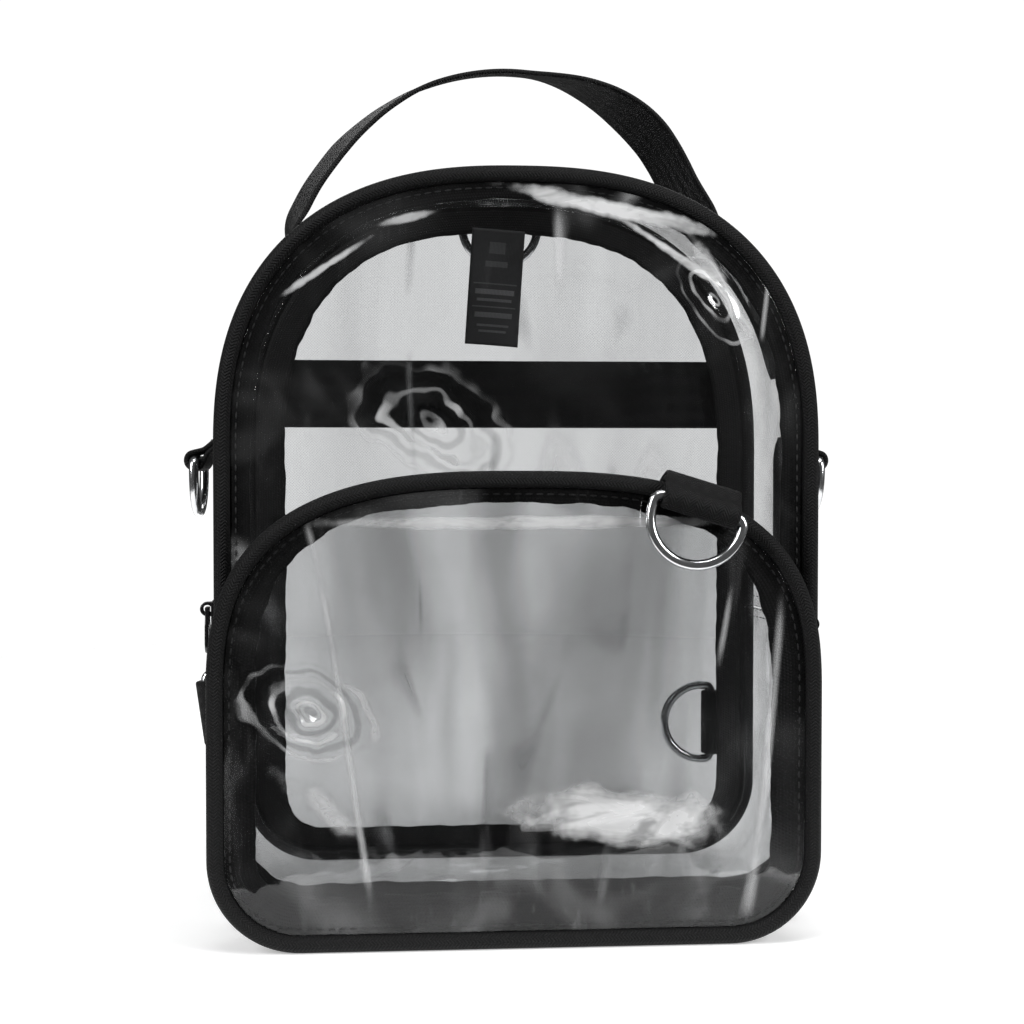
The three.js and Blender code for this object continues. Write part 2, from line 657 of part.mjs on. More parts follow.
// Point on the side of the gusset at a height and a depth, lifted off its middle surface
function gussetSide(sign, z, y, lift) {
  const share = (y - FRONT_Y) / SEAM_DEPTH;
  const point = seamSidePoint(THREE.MathUtils.lerp(FRONT_HEIGHT, BACK_HEIGHT, share), z);
  const out = gussetOut(point, y) + lift;
  return vector(sign * (point.x + point.nx * out), y, z + point.nz * out);
}
addPiece('side_strip_left', sideStrip(-1), blackWeb());
addPiece('side_strip_right', sideStrip(1), blackWeb());

// Handle: a webbing ribbon sewn to both shoulders, with a leaning top
function handleGeometry() {
  const lift = SHEET / 2 + SEWN_GAP + WEBBING_THICKNESS / 2;
  const height = (share) => HANDLE_FOOT + HANDLE_PATCH * share;
  const patchPoint = (sign, share) => gussetSide(sign, height(share), CARRY_PLANE, lift);
  const foot = patchPoint(1, 1);
  const rise = HANDLE_TOP - WEBBING_THICKNESS / 2 - foot.z;
  const middle = [];
  for (let i = 0; i < HANDLE_PATCH_STEPS; i += 1) middle.push(patchPoint(1, i / HANDLE_PATCH_STEPS));
  for (let i = 0; i <= HANDLE_ARCH_STEPS; i += 1) {
    const point = archPoint(foot.x, rise, foot.z, HANDLE_POWER, (i / HANDLE_ARCH_STEPS) * Math.PI);
    middle.push(vector(point.x, CARRY_PLANE, point.z));
  }
  for (let i = HANDLE_PATCH_STEPS - 1; i >= 0; i -= 1) middle.push(patchPoint(-1, i / HANDLE_PATCH_STEPS));
  const grid = (side) => [-1, 1].map((edge) => middle.map((point, i) => {
    const before = middle[Math.max(i - 1, 0)];
    const after = middle[Math.min(i + 1, middle.length - 1)];
    const along = after.clone().sub(before).normalize();
    const out = vector(along.z, 0, -along.x);
    const free = THREE.MathUtils.clamp((point.z - foot.z) / rise, 0, 1);
    const lean = THREE.MathUtils.degToRad(HANDLE_LEAN * free);
    const across = vector(0, Math.cos(lean), 0).addScaledVector(out, Math.sin(lean));
    const onEdge = point.clone().addScaledVector(across, edge * WEBBING / 2);
    return onEdge.addScaledVector(out, side * WEBBING_THICKNESS / 2);
  }));
  return thickSheet(grid(1), grid(-1), false);
}
addPiece('handle', handleGeometry(), blackWeb());

// Ring: a round wire bent to a D. Drawn with its bar along x and its bow hanging towards -y.
function ringGeometry() {
  const radius = RING_INNER / 2 + RING_WIRE / 2;
  const points = [];
  const inner = radius - RING_CORNER;
  for (let i = 0; i < RING_BAR_STEPS; i += 1) {
    points.push(vector(THREE.MathUtils.lerp(-inner, inner, i / RING_BAR_STEPS), 0, 0));
  }
  for (let i = 0; i < RING_CORNER_STEPS; i += 1) {
    const turn = (i / RING_CORNER_STEPS) * Math.PI / 2;
    const x = inner + Math.sin(turn) * RING_CORNER;
    points.push(vector(x, Math.cos(turn) * RING_CORNER - RING_CORNER, 0));
  }
  for (let i = 0; i <= RING_BOW_STEPS; i += 1) {
    const turn = (i / RING_BOW_STEPS) * Math.PI;
    points.push(vector(Math.cos(turn) * radius, -RING_CORNER - RING_STRAIGHT - Math.sin(turn) * radius, 0));
  }
  for (let i = 0; i < RING_CORNER_STEPS; i += 1) {
    const turn = (i / RING_CORNER_STEPS) * Math.PI / 2;
    const x = -inner - Math.cos(turn) * RING_CORNER;
    points.push(vector(x, Math.sin(turn) * RING_CORNER - RING_CORNER, 0));
  }
  return loopTube(points, RING_WIRE / 2, RING_SIDES);
}

// Tab: webbing folded round the ring's bar, both layers running on together.
// Its outer and inner faces behind the fold are lists of places: how far along, and how far out.
function tabGeometry({ outer, inner }) {
  const shape = new THREE.Shape();
  shape.absarc(0, 0, BAR_STAND_OFF, Math.PI, Math.PI * 2, false);
  for (const { along, out } of [...outer, ...[...inner].reverse()]) shape.lineTo(out, along);
  const hole = new THREE.Path();
  hole.absarc(0, 0, RING_WIRE / 2 + TAB_HOLE, 0, Math.PI * 2, true);
  shape.holes.push(hole);
  const geometry = extrude(shape, TAB_WIDTH, 8);
  const turn = new THREE.Matrix4().makeBasis(vector(0, 0, 1), vector(0, 1, 0), vector(1, 0, 0));
  return geometry.applyMatrix4(turn);
}

function addRing(place, origin, across, hang, outwards, tabAlong, tabOutwards, faces) {
  const upwards = hang.clone().negate();
  const tabAcross = tabAlong.clone().cross(tabOutwards);
  const tab = placed(tabGeometry(faces), origin, tabAcross, tabAlong, tabOutwards);
  addPiece(`tab_${place}`, tab, blackWeb());
  addPiece(`ring_${place}`, placed(ringGeometry(), origin, across, upwards, outwards), chrome());
}

const degrees = THREE.MathUtils.degToRad;
const flatDrop = WEBBING_THICKNESS - BAR_STAND_OFF;

// Two layers of webbing lying flat from just behind the fold to the tab's end
function flatLayers(end, middle) {
  const places = [TAB_FLAT_START, end];
  const face = (side) => places.map((along) => ({ along, out: middle + side * WEBBING_THICKNESS }));
  return { outer: face(1), inner: face(-1) };
}

// Side rings hang from tabs that stand out of the side strips
const stripOuter = SHEET / 2 + SEWN_GAP + WEBBING_THICKNESS;
for (const [name, sign] of [['left', -1], ['right', 1]]) {
  const face = gussetSide(sign, SIDE_RING_HEIGHT, CARRY_PLANE, stripOuter);
  const origin = vector(face.x + sign * SIDE_RING_STAND_OFF, CARRY_PLANE, SIDE_RING_HEIGHT);
  const slope = degrees(SIDE_TAB_SLOPE);
  const along = vector(-sign * Math.cos(slope), 0, Math.sin(slope));
  const outwards = vector(sign * Math.sin(slope), 0, Math.cos(slope));
  const reach = SIDE_RING_STAND_OFF - CLEARANCE - WEBBING_THICKNESS * Math.sin(slope);
  const faces = flatLayers(reach / Math.cos(slope), 0);
  const across = vector(0, sign, 0);
  addRing(`side_${name}`, origin, across, vector(0, 0, -1), vector(sign, 0, 0), along, outwards, faces);
}

// Ring on the pocket's top seam, its tab folded back over the piping
{
  const tilt = degrees(FRONT_RING_TILT);
  const half = POCKET_WIDTH / 2 - PIPING_RADIUS;
  const rise = POCKET_HEIGHT - PIPING_RADIUS - POCKET_SPRING;
  const angle = Math.acos(((FRONT_RING_X - POCKET_SHIFT) / half) ** (POCKET_POWER / 2));
  const seam = archPoint(half, rise, POCKET_SPRING, POCKET_POWER, angle);
  const standOff = PIPING_RADIUS + CLEARANCE + BAR_STAND_OFF;
  const origin = vector(FRONT_RING_X, POCKET_Y - standOff, seam.z - FRONT_RING_DROP);
  const across = vector(Math.cos(tilt), 0, -Math.sin(tilt));
  const up = vector(Math.sin(tilt), 0, Math.cos(tilt));
  const ridge = FRONT_RING_DROP + PIPING_RADIUS + CLEARANCE;
  const layers = WEBBING_THICKNESS * 2;
  const outer = [
    { along: 1.2, out: ridge - 0.3 },
    { along: 3.6, out: ridge + layers - 1 },
    { along: 6.5, out: ridge + layers },
    { along: 11, out: ridge + layers - 1.3 },
    { along: 14.5, out: ridge + layers - 3.8 },
  ];
  const inner = [
    { along: 2.3, out: -2.2 },
    { along: 3.0, out: 0 },
    { along: 3.3, out: ridge - 2.7 },
    { along: 4.2, out: ridge - 0.5 },
    { along: 6.6, out: ridge + 0.1 },
    { along: 11, out: ridge - 1.1 },
    { along: 14.2, out: ridge - 3.7 },
  ];
  const faces = { outer, inner };
  addRing('front', origin, across, up.clone().negate(), vector(0, -1, 0), vector(0, 1, 0), up, faces);
}

// Rings on the back: one at the top seam, one at each lower side
const barY = BACK_Y + SHEET / 2 + CLEARANCE + BACK_TAB_LIFT + BAR_STAND_OFF;
const back = vector(0, 1, 0);
{
  const origin = vector(0, BACK_Y + PIPING_RADIUS + CLEARANCE + BAR_STAND_OFF, BACK_HEIGHT - BACK_TOP_LEG);
  const faces = flatLayers(BACK_TOP_LEG, flatDrop);
  addRing('back_top', origin, vector(-1, 0, 0), vector(0, 0, -1), back, vector(0, 0, 1), back, faces);
}
{
  const faces = flatLayers(seamSide - EDGE_SET_IN - BACK_RING_X, flatDrop);
  const origin = vector(BACK_RING_X, barY, BACK_RING_HEIGHT);
  addRing('back_right', origin, vector(0, 0, 1), vector(-1, 0, 0), back, vector(1, 0, 0), back, faces);
}
{
  const tilt = degrees(LOOSE_TAB_TILT);
  const inwards = vector(Math.cos(tilt), 0, Math.sin(tilt));
  const across = vector(Math.sin(tilt), 0, -Math.cos(tilt));
  const faces = flatLayers(LOOSE_TAB_LEG, flatDrop);
  const reach = BODY_WIDTH / 2 + CLEARANCE + LOOSE_TAB_GAP + LOOSE_TAB_LEG * Math.cos(tilt);
  const origin = vector(-reach, barY, LOOSE_TAB_HEIGHT);
  const lean = degrees(FOLDED_RING_LEAN);
  const hang = inwards.clone().multiplyScalar(Math.cos(lean)).addScaledVector(back, Math.sin(lean));
  const outwards = back.clone().multiplyScalar(Math.cos(lean)).addScaledVector(inwards, -Math.sin(lean));
  addRing('back_left', origin, across, hang, outwards, inwards, back, faces);
}

// Label: hangs inside from the back seam tape at the top
{
  const face = backTapeY - TAPE / 2 - CLEARANCE - LABEL_THICKNESS;
  const top = BACK_HEIGHT - PIPING_RADIUS - EDGE_SET_IN - BACK_TAPE_WIDTH + LABEL_LAP;
  const label = new THREE.BoxGeometry(LABEL_WIDTH, LABEL_THICKNESS, LABEL_HEIGHT);
  label.translate(0, LABEL_THICKNESS / 2, -LABEL_HEIGHT / 2);
  label.rotateY(degrees(LABEL_TILT));
  label.translate(LABEL_X, face, top);
  addPiece('label', label, blackTape());
}

export default object;
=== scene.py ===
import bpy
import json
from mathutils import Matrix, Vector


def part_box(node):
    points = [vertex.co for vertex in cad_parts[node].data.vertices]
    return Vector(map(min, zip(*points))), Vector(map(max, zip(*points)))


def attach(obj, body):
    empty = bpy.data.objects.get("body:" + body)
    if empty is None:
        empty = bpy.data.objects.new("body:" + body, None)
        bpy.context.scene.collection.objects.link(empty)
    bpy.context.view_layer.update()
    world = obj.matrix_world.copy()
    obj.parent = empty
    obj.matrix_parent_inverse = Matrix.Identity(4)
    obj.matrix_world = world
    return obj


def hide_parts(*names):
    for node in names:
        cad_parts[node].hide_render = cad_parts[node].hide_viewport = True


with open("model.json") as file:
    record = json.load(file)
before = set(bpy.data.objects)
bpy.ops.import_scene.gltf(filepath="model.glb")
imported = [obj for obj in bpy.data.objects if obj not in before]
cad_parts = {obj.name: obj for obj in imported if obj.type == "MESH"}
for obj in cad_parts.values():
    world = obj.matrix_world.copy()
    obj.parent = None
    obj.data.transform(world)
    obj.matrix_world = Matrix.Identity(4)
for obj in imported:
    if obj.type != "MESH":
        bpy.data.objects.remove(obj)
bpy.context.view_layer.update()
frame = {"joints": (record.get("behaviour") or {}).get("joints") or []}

import copy
import json
import math

import bmesh
import bpy
import numpy as np
from bpy.props import FloatProperty, FloatVectorProperty, IntProperty, PointerProperty
from mathutils import Matrix, Vector

bl_info = {
    "name": "Clear stadium backpack",
    "version": (1, 0, 0),
    "blender": (4, 5, 0),
    "location": "3D View > Sidebar > Clear Bag",
    "description": "Clear film, woven trim, rings and studio for a small see-through backpack",
    "category": "Object",
}

MM = 0.001
BAG = "bag"
WEAVE_MAP = "weave"

# Places of the CAD's seams, read from its piping
PIPING_LOW, PIPING_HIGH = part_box("piping_front")
BACK_PIPING_LOW, BACK_PIPING_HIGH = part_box("piping_back")
POCKET_PIPING_LOW, POCKET_PIPING_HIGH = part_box("piping_pocket")
FRONT_Y = (PIPING_LOW[1] + PIPING_HIGH[1]) / 2
BACK_Y = (BACK_PIPING_LOW[1] + BACK_PIPING_HIGH[1]) / 2
POCKET_Y = (POCKET_PIPING_LOW[1] + POCKET_PIPING_HIGH[1]) / 2
POCKET_X = (POCKET_PIPING_LOW[0] + POCKET_PIPING_HIGH[0]) / 2
GUSSET_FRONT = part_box("gusset_lower")[0][1]
GUSSET_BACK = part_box("gusset_lower")[1][1]
JOIN_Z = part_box("gusset_upper")[0][2]


def distance(name, default, description):
    return FloatProperty(name=name, description=description, default=default, unit="LENGTH", subtype="DISTANCE")


def widths(name, default, description):
    text = f"{description}: how much shows at the left, right, top and bottom"
    return FloatVectorProperty(name=name, description=text, default=default, size=4, unit="LENGTH")


def share(name, default, description):
    return FloatProperty(name=name, description=description, default=default, min=0, max=1, subtype="FACTOR")


def colour(name, default, description):
    return FloatVectorProperty(name=name, description=description, default=default, size=3, subtype="COLOR")


def turned(name, default, description):
    return FloatProperty(name=name, description=description, default=math.radians(default), subtype="ANGLE")


class BagSizes(bpy.types.PropertyGroup):
    """Sizes of the bag and of its fine pieces."""

    body_width: distance("Body width", 0.191, "Width of the body over its piping")
    front_height: distance("Front height", 0.240, "Height of the front panel over its piping")
    back_height: distance("Back height", 0.246, "Height of the back panel over its piping")
    arch_spring: distance("Arch spring", 0.150, "Height where the body's arch begins")
    arch_power: FloatProperty(name="Arch power", description="How square the body's arch is", default=2.48)
    corner_radius: distance("Corner radius", 0.028, "Radius of the lower corners")
    pocket_width: distance("Pocket width", 0.1864, "Width of the pocket over its piping")
    pocket_height: distance("Pocket height", 0.1445, "Height of the pocket over its piping")
    pocket_spring: distance("Pocket spring", 0.075, "Height where the pocket's arch begins")
    pocket_power: FloatProperty(name="Pocket power", description="How square the pocket's arch is", default=2.8)
    piping: distance("Piping", 0.0052, "Thickness of the round piping")
    film: distance("Film", 0.0006, "Thickness of the clear film")
    film_inset: distance("Film inset", 0.0028, "From the piping's middle to the film's edge")
    gusset_inset: distance("Gusset inset", 0.0011, "How far the gusset's middle sits inside the seam line")
    side_bulge: distance("Side bulge", 0.0031, "How far the gusset bows out at the sides")
    bottom_sag: distance("Bottom sag", 0.0032, "How far the gusset bows down at the bottom")
    tape: distance("Seam tape", 0.0008, "Thickness of the woven seam tape")
    front_tape: widths("Front tape widths", (0.0060, 0.0062, 0.0048, 0.0090), "Front panel's seam tape")
    back_tape: widths("Back tape widths", (0.0104, 0.0086, 0.0082, 0.0068), "Back panel's seam tape")
    pocket_tape: widths("Pocket tape widths", (0.0090, 0.0098, 0.0042, 0.0108), "Pocket's seam tape")
    tape_wave: distance("Tape wave", 0.0006, "How far the tape's free edge waves")
    webbing: distance("Webbing", 0.025, "Width of the webbing")
    webbing_thickness: distance("Webbing thickness", 0.0016, "Thickness of the webbing")
    tab_width: distance("Tab width", 0.024, "Width of the ring tabs")
    ring_wire: distance("Ring wire", 0.0032, "Thickness of the rings' wire")
    ring_inner: distance("Ring inner width", 0.025, "Clear width of the rings")
    ring_corner: distance("Ring corner", 0.0026, "Radius of the bend beside each ring's bar")
    ring_straight: distance("Ring straight", 0.001, "Straight stretch of each ring before its bow")
    stitch: distance("Stitch", 0.0033, "From one stitch to the next")
    thread: distance("Thread", 0.0005, "Thickness of the sewing thread")
    tooth: distance("Tooth pitch", 0.0014, "From one zipper tooth to the next")
    carry_plane: distance("Carry plane", 0.005, "Depth of the handle and side strips")


class BagColours(bpy.types.PropertyGroup):
    """Colours and finishes of the bag."""

    cloth: colour("Black cloth", (0.0008, 0.0008, 0.0009), "Webbing and tape in their grooves")
    cloth_light: colour("Cloth ribs", (0.0058, 0.0058, 0.0062), "Webbing and tape on their ribs")
    gloss_black: colour("Gloss black", (0.006, 0.006, 0.0065), "Sliders and pulls")
    chrome: colour("Chrome", (0.86, 0.87, 0.88), "Rings")
    film: colour("Panel film", (0.908, 0.911, 0.913), "What each face of a panel's film lets through")
    pocket_film: colour("Pocket film", (0.897, 0.900, 0.902), "What each face of the pocket's film lets through")
    gusset_film: colour("Gusset film", (0.955, 0.957, 0.958), "What each face of the gusset's film lets through")
    print_grey: colour("Label bars", (0.20, 0.20, 0.205), "Bars woven into the label")
    floor: colour("Floor", (0.90, 0.90, 0.90), "Studio floor")


class StudioSetup(bpy.types.PropertyGroup):
    """Camera and light."""

    azimuth: turned("Azimuth", -4.2, "The camera's turn to the side")
    elevation: turned("Elevation", 1.5, "The camera's angle above the bag's middle")
    range: distance("Range", 0.490, "From the camera to what it aims at")
    lens: FloatProperty(name="Lens", description="Focal length on a 36 mm sensor", default=54.74, unit="CAMERA")
    aim: FloatVectorProperty(name="Aim", description="What the camera aims at", default=(-0.0025, -0.045, 0.1315))
    backdrop: share("Backdrop", 1.0, "Brightness of what the camera sees behind the bag")


def sizes():
    return bpy.context.scene.bag_sizes


def colours():
    return bpy.context.scene.bag_colours


class Value:
    """Output of a shader node that can be used in plain arithmetic."""

    def __init__(self, net, socket):
        self.net = net
        self.socket = socket

    def maths(self, operation, *inputs):
        return self.net.add("ShaderNodeMath", {"operation": operation}, dict(enumerate(inputs)))

    def __add__(self, other):
        return self.maths("ADD", self, other)

    def __radd__(self, other):
        return self.maths("ADD", other, self)

    def __sub__(self, other):
        return self.maths("SUBTRACT", self, other)

    def __rsub__(self, other):
        return self.maths("SUBTRACT", other, self)

    def __mul__(self, other):
        return self.maths("MULTIPLY", self, other)

    def __rmul__(self, other):
        return self.maths("MULTIPLY", other, self)

    def __truediv__(self, other):
        return self.maths("DIVIDE", self, other)

    def __pow__(self, other):
        return self.maths("POWER", self, other)

    def __abs__(self):
        return self.maths("ABSOLUTE", self)

    def sine(self):
        return self.maths("SINE", self)

    def fraction(self):
        return self.maths("FRACT", self)

    def least(self, other):
        return self.maths("MINIMUM", self, other)

    def most(self, other):
        return self.maths("MAXIMUM", self, other)

    def rise(self, low, high):
        """0 below low, 1 above high and smooth between them."""
        settings = {"interpolation_type": "SMOOTHSTEP"}
        return self.net.add("ShaderNodeMapRange", settings, {"Value": self, "From Min": low, "From Max": high})


class Net:
    """Node tree of a material or of the world."""

    def __init__(self, owner):
        owner.use_nodes = True
        self.tree = owner.node_tree
        self.tree.nodes.clear()

    def add(self, kind, settings=None, inputs=None, output=0):
        """Adds a node: its settings first, then its sockets' values or links. Returns one of its outputs."""
        node = self.tree.nodes.new(kind)
        for key, value in (settings or {}).items():
            if key == "stops":
                self.set_stops(node.color_ramp, value)
            else:
                setattr(node, key, value)
        for key, value in (inputs or {}).items():
            if isinstance(value, Value):
                self.tree.links.new(value.socket, node.inputs[key])
            else:
                node.inputs[key].default_value = value
        return Value(self, node.outputs[output]) if node.outputs else None

    def set_stops(self, ramp, stops):
        while len(ramp.elements) > 1:
            ramp.elements.remove(ramp.elements[-1])
        ramp.elements[0].position, ramp.elements[0].color = stops[0]
        for place, tone in stops[1:]:
            ramp.elements.new(place).color = tone

    def noise(self, scale, detail=3.0, roughness=0.55, vector=None, distortion=0.0):
        inputs = {"Scale": scale, "Detail": detail, "Roughness": roughness, "Distortion": distortion}
        inputs["Vector"] = vector or self.place()
        return self.add("ShaderNodeTexNoise", None, inputs, "Fac")

    def place(self):
        """Where a point is on the object, in metres."""
        return self.add("ShaderNodeTexCoord", None, None, "Object")

    def split(self, vector):
        """The three numbers of a vector."""
        node = self.add("ShaderNodeSeparateXYZ", None, {0: vector}).socket.node
        return [Value(self, out) for out in node.outputs]

    def weave_place(self):
        """Metres along and across a woven piece, from its own map."""
        along, across, _ = self.split(self.add("ShaderNodeUVMap", {"uv_map": WEAVE_MAP}, None, "UV"))
        return along, across

    def blend(self, factor, first, second):
        """Mixes two colours."""
        inputs = {"Factor": factor, 6: first, 7: second}
        return self.add("ShaderNodeMix", {"data_type": "RGBA"}, inputs, 2)

    def bump(self, height, distance_m, strength=1.0):
        inputs = {"Height": height, "Distance": distance_m, "Strength": strength}
        return self.add("ShaderNodeBump", None, inputs, "Normal")

    def finish(self, shader, kind="ShaderNodeOutputMaterial"):
        self.add(kind, None, {"Surface": shader})


def opaque(tone):
    return (*tone, 1.0)


def new_material(name):
    made = bpy.data.materials.new(name)
    return made, Net(made)


def woven(name, rib, column, skew, threads, roughness=0.62, depth=0.22 * MM, light=1.0):
    """Black cloth in a herringbone: ribs run along it and turn at each column."""
    made, net = new_material(name)
    along, across = net.weave_place()
    turn = abs((across / column).fraction() - 0.5) * 2
    ribs = ((along / rib + turn * skew) * (2 * math.pi)).sine() * 0.5 + 0.5
    yarns = ((across / threads) * (2 * math.pi)).sine() * 0.5 + 0.5
    fuzz = net.noise(2600, 2)
    wear = net.noise(38, 3)
    height = ribs * 0.7 + yarns * 0.2 + fuzz * 0.25
    shade = (ribs * 0.62 + yarns * 0.14 + fuzz * 0.18 + wear * 0.34 - 0.18) * light
    tone = net.blend(shade.rise(0.0, 1.15), opaque(colours().cloth), opaque(colours().cloth_light))
    inputs = {
        "Base Color": tone,
        "Roughness": roughness - 0.16 * ribs + 0.14 * wear,
        "Specular IOR Level": 0.2,
        "Normal": net.bump(height, depth),
    }
    net.finish(net.add("ShaderNodeBsdfPrincipled", None, inputs))
    return made


def dotted(name, pitch, roughness=0.7, depth=0.16 * MM, light=1.0):
    """Black tape in a plain weave whose crossings catch the light as dots."""
    made, net = new_material(name)
    along, across = net.weave_place()
    row = across / pitch
    shift = (row.maths("FLOOR", row) * 0.5).fraction()
    dot_along = abs((along / pitch + shift).fraction() - 0.5) * 2
    dot_across = abs(row.fraction() - 0.5) * 2
    dots = (1 - (dot_along * dot_along + dot_across * dot_across) ** 0.5).most(0).rise(0.05, 0.7)
    fuzz = net.noise(2200, 2)
    wear = net.noise(45, 3)
    shade = (dots * 0.55 + fuzz * 0.2 + wear * 0.4 - 0.2) * light
    tone = net.blend(shade.rise(0.0, 1.1), opaque(colours().cloth), opaque(colours().cloth_light))
    inputs = {
        "Base Color": tone,
        "Roughness": roughness - 0.18 * dots + 0.1 * wear,
        "Specular IOR Level": 0.2,
        "Normal": net.bump(dots * 0.8 + fuzz * 0.3, depth),
    }
    net.finish(net.add("ShaderNodeBsdfPrincipled", None, inputs))
    return made


def swirls(net, place, rows):
    """Rings of painted reflection round a dimple in the film: bright rings of painted highlight and dark rings of
    painted shade, as two masks.
    """
    across, _, up = net.split(place)
    wobble = (net.noise(55, 2) - 0.5) * 1.3
    patchy = 0.25 + net.noise(75, 1).rise(0.42, 0.62)
    bright, dark = None, None
    for row in rows:
        turn = math.radians(row["turn"])
        dx, dz = across - row["x"], up - row["z"]
        u = (dx * math.cos(turn) + dz * math.sin(turn)) / row["long"]
        v = (dz * math.cos(turn) - dx * math.sin(turn)) / row["wide"]
        radius = (u * u + v * v) ** 0.5 + wobble
        near = 1 - radius.rise(0.75, 1.55)
        wave = (radius * (row["rings"] * 2.1)).sine()
        # lit holds the rings of painted highlight, shaded the rings of painted shade
        lit = wave.rise(0.50, 0.97) * near * patchy * row["glare"]
        shaded = (wave * -1).rise(0.30, 0.95) * near * row["glare"] * 0.5
        bright = lit if bright is None else bright.most(lit)
        dark = shaded if dark is None else dark.most(shaded)
    return bright, dark


def glare(net, place, rows):
    """Painted highlights: patches of film painted bright where slack folds would turn to the light, with torn edges.
    """
    across, _, up = net.split(place)
    torn = net.noise(70, 3, 0.6) - 0.5
    spread = {"Vector": place, "Scale": (0.35, 1.0, 1.0), "Rotation": (0, math.radians(-12), 0)}
    # Streaky noise that breaks up the painted highlights
    grain = net.noise(120, 3, 0.65, net.add("ShaderNodeMapping", None, spread), 0.8).rise(0.30, 0.62)
    total = None
    for row in rows:
        turn = math.radians(row["turn"])
        dx, dz = across - row["x"], up - row["z"]
        u = (dx * math.cos(turn) + dz * math.sin(turn)) / row["long"]
        v = (dz * math.cos(turn) - dx * math.sin(turn)) / row["wide"]
        radius = (u * u + v * v) ** 0.5 + torn * row["wild"]
        # Each patch is a painted highlight; the row gives its strength
        patch = (1 - radius.rise(row["core"], 1.05)) * row["haze_and_painted_highlight"]
        total = patch if total is None else total.most(patch)
    return total * (0.35 + 0.65 * grain)


def clear_film(name, tint, haze, smoke=0.0, dots=0.0, relief=2.5 * MM, dimples=(), glares=()):
    """Clear soft film: it lets light through, mirrors more at a slant, and has scuffs and streaks, rings of painted
    highlight and painted shade round its dimples, and patches of painted highlight.
    """
    made, net = new_material(name)
    place = net.place()
    facing = net.add("ShaderNodeLayerWeight", None, {"Blend": 0.5}, "Facing")
    mirror = 0.027 + 0.8 * facing**5
    stretch = {"Vector": place, "Scale": (1.0, 1.0, 0.22), "Rotation": (0, math.radians(24), 0)}
    slanted = net.add("ShaderNodeMapping", None, stretch)
    cloud = net.noise(17, 2, 0.62, place, 1.4)
    streaks = net.noise(58, 3, 0.72, slanted, 0.6).rise(0.57, 0.76)
    scuffs = net.noise(520, 1, 0.6, slanted).rise(0.66, 0.8)
    haze_and_painted_highlight = (cloud.rise(0.50, 0.80) * 0.6 + streaks * 0.5 + scuffs * 0.2) * haze
    smoke_and_painted_shade = net.noise(13, 3, 0.6, slanted, 1.0).rise(0.38, 0.66) * smoke
    folds = (1 - abs(net.noise(8, 1, 0.4, slanted, 1.8) - 0.5) * 46).most(0)
    haze_and_painted_highlight = haze_and_painted_highlight + folds * net.noise(23, 1).rise(0.52, 0.66) * 0.30
    if dots:
        across, _, up = net.split(place)
        slant = ((across + up) / (1.05 * MM)).fraction() - 0.5
        cross = ((across - up) / (1.05 * MM)).fraction() - 0.5
        smoke_and_painted_shade = smoke_and_painted_shade + (1 - (slant * slant + cross * cross) ** 0.5 * 2.4).most(0) * dots
    if dimples:
        bright, dark = swirls(net, place, [row for row in dimples if "glare" in row])
        # The dimples' rings are painted reflection: bright rings add painted highlight to the haze, dark rings add
        # painted shade to the smoke.
        haze_and_painted_highlight = haze_and_painted_highlight + bright * 0.6
        smoke_and_painted_shade = smoke_and_painted_shade + dark * 0.35
    if glares:
        # Patches of painted highlight add to the haze.
        haze_and_painted_highlight = haze_and_painted_highlight + glare(net, place, glares)
    ripple = net.noise(20, 2, 0.55, slanted, 1.3)
    fine = net.noise(120, 1, 0.5, place)
    cover = (mirror + haze_and_painted_highlight + smoke_and_painted_shade).least(1.0)
    pale = ((mirror + haze_and_painted_highlight) / (mirror + haze_and_painted_highlight + smoke_and_painted_shade + 0.001)).least(1.0)
    # Base colour is dark where smoke and painted shade cover the film, and pale where haze and painted highlight do.
    inputs = {
        "Base Color": net.blend(pale, (0.004, 0.004, 0.004, 1), (0.93, 0.935, 0.94, 1)),
        "Metallic": 1 - (haze_and_painted_highlight * 5).least(0.8),
        "Roughness": 0.03 + 0.3 * haze_and_painted_highlight + 0.05 * streaks,
        "Normal": net.bump(ripple + fine * 0.06, relief),
    }
    surface = net.add("ShaderNodeBsdfPrincipled", None, inputs)
    through = net.add("ShaderNodeBsdfTransparent", None, {"Color": opaque(tint)})
    net.finish(net.add("ShaderNodeMixShader", None, {0: cover, 1: through, 2: surface}))
    return made


def chrome_finish(name):
    """Plated steel wire with fine handling marks."""
    made, net = new_material(name)
    marks = net.noise(900, 4, 0.7, None, 1.0)
    smudge = net.noise(70, 3)
    tone = net.blend(smudge.rise(0.35, 0.75), opaque(colours().chrome), (0.66, 0.67, 0.69, 1))
    inputs = {
        "Base Color": tone,
        "Metallic": 1.0,
        "Roughness": 0.15 + 0.10 * smudge + 0.10 * marks.rise(0.55, 0.8),
        "Normal": net.bump(marks, 0.02 * MM),
    }
    net.finish(net.add("ShaderNodeBsdfPrincipled", None, inputs))
    return made


def enamel_finish(name):
    """Glossy black enamel, dulled and scratched in places."""
    made, net = new_material(name)
    smudge = net.noise(120, 4)
    scratch = net.noise(1400, 3, 0.7, None, 2.0).rise(0.62, 0.75)
    tone = net.blend(scratch * 0.6, opaque(colours().gloss_black), (0.05, 0.05, 0.052, 1))
    inputs = {
        "Base Color": tone,
        "Roughness": 0.12 + 0.18 * smudge + 0.2 * scratch,
        "Coat Weight": 0.5,
        "Normal": net.bump(smudge + scratch * 0.3, 0.03 * MM),
    }
    net.finish(net.add("ShaderNodeBsdfPrincipled", None, inputs))
    return made


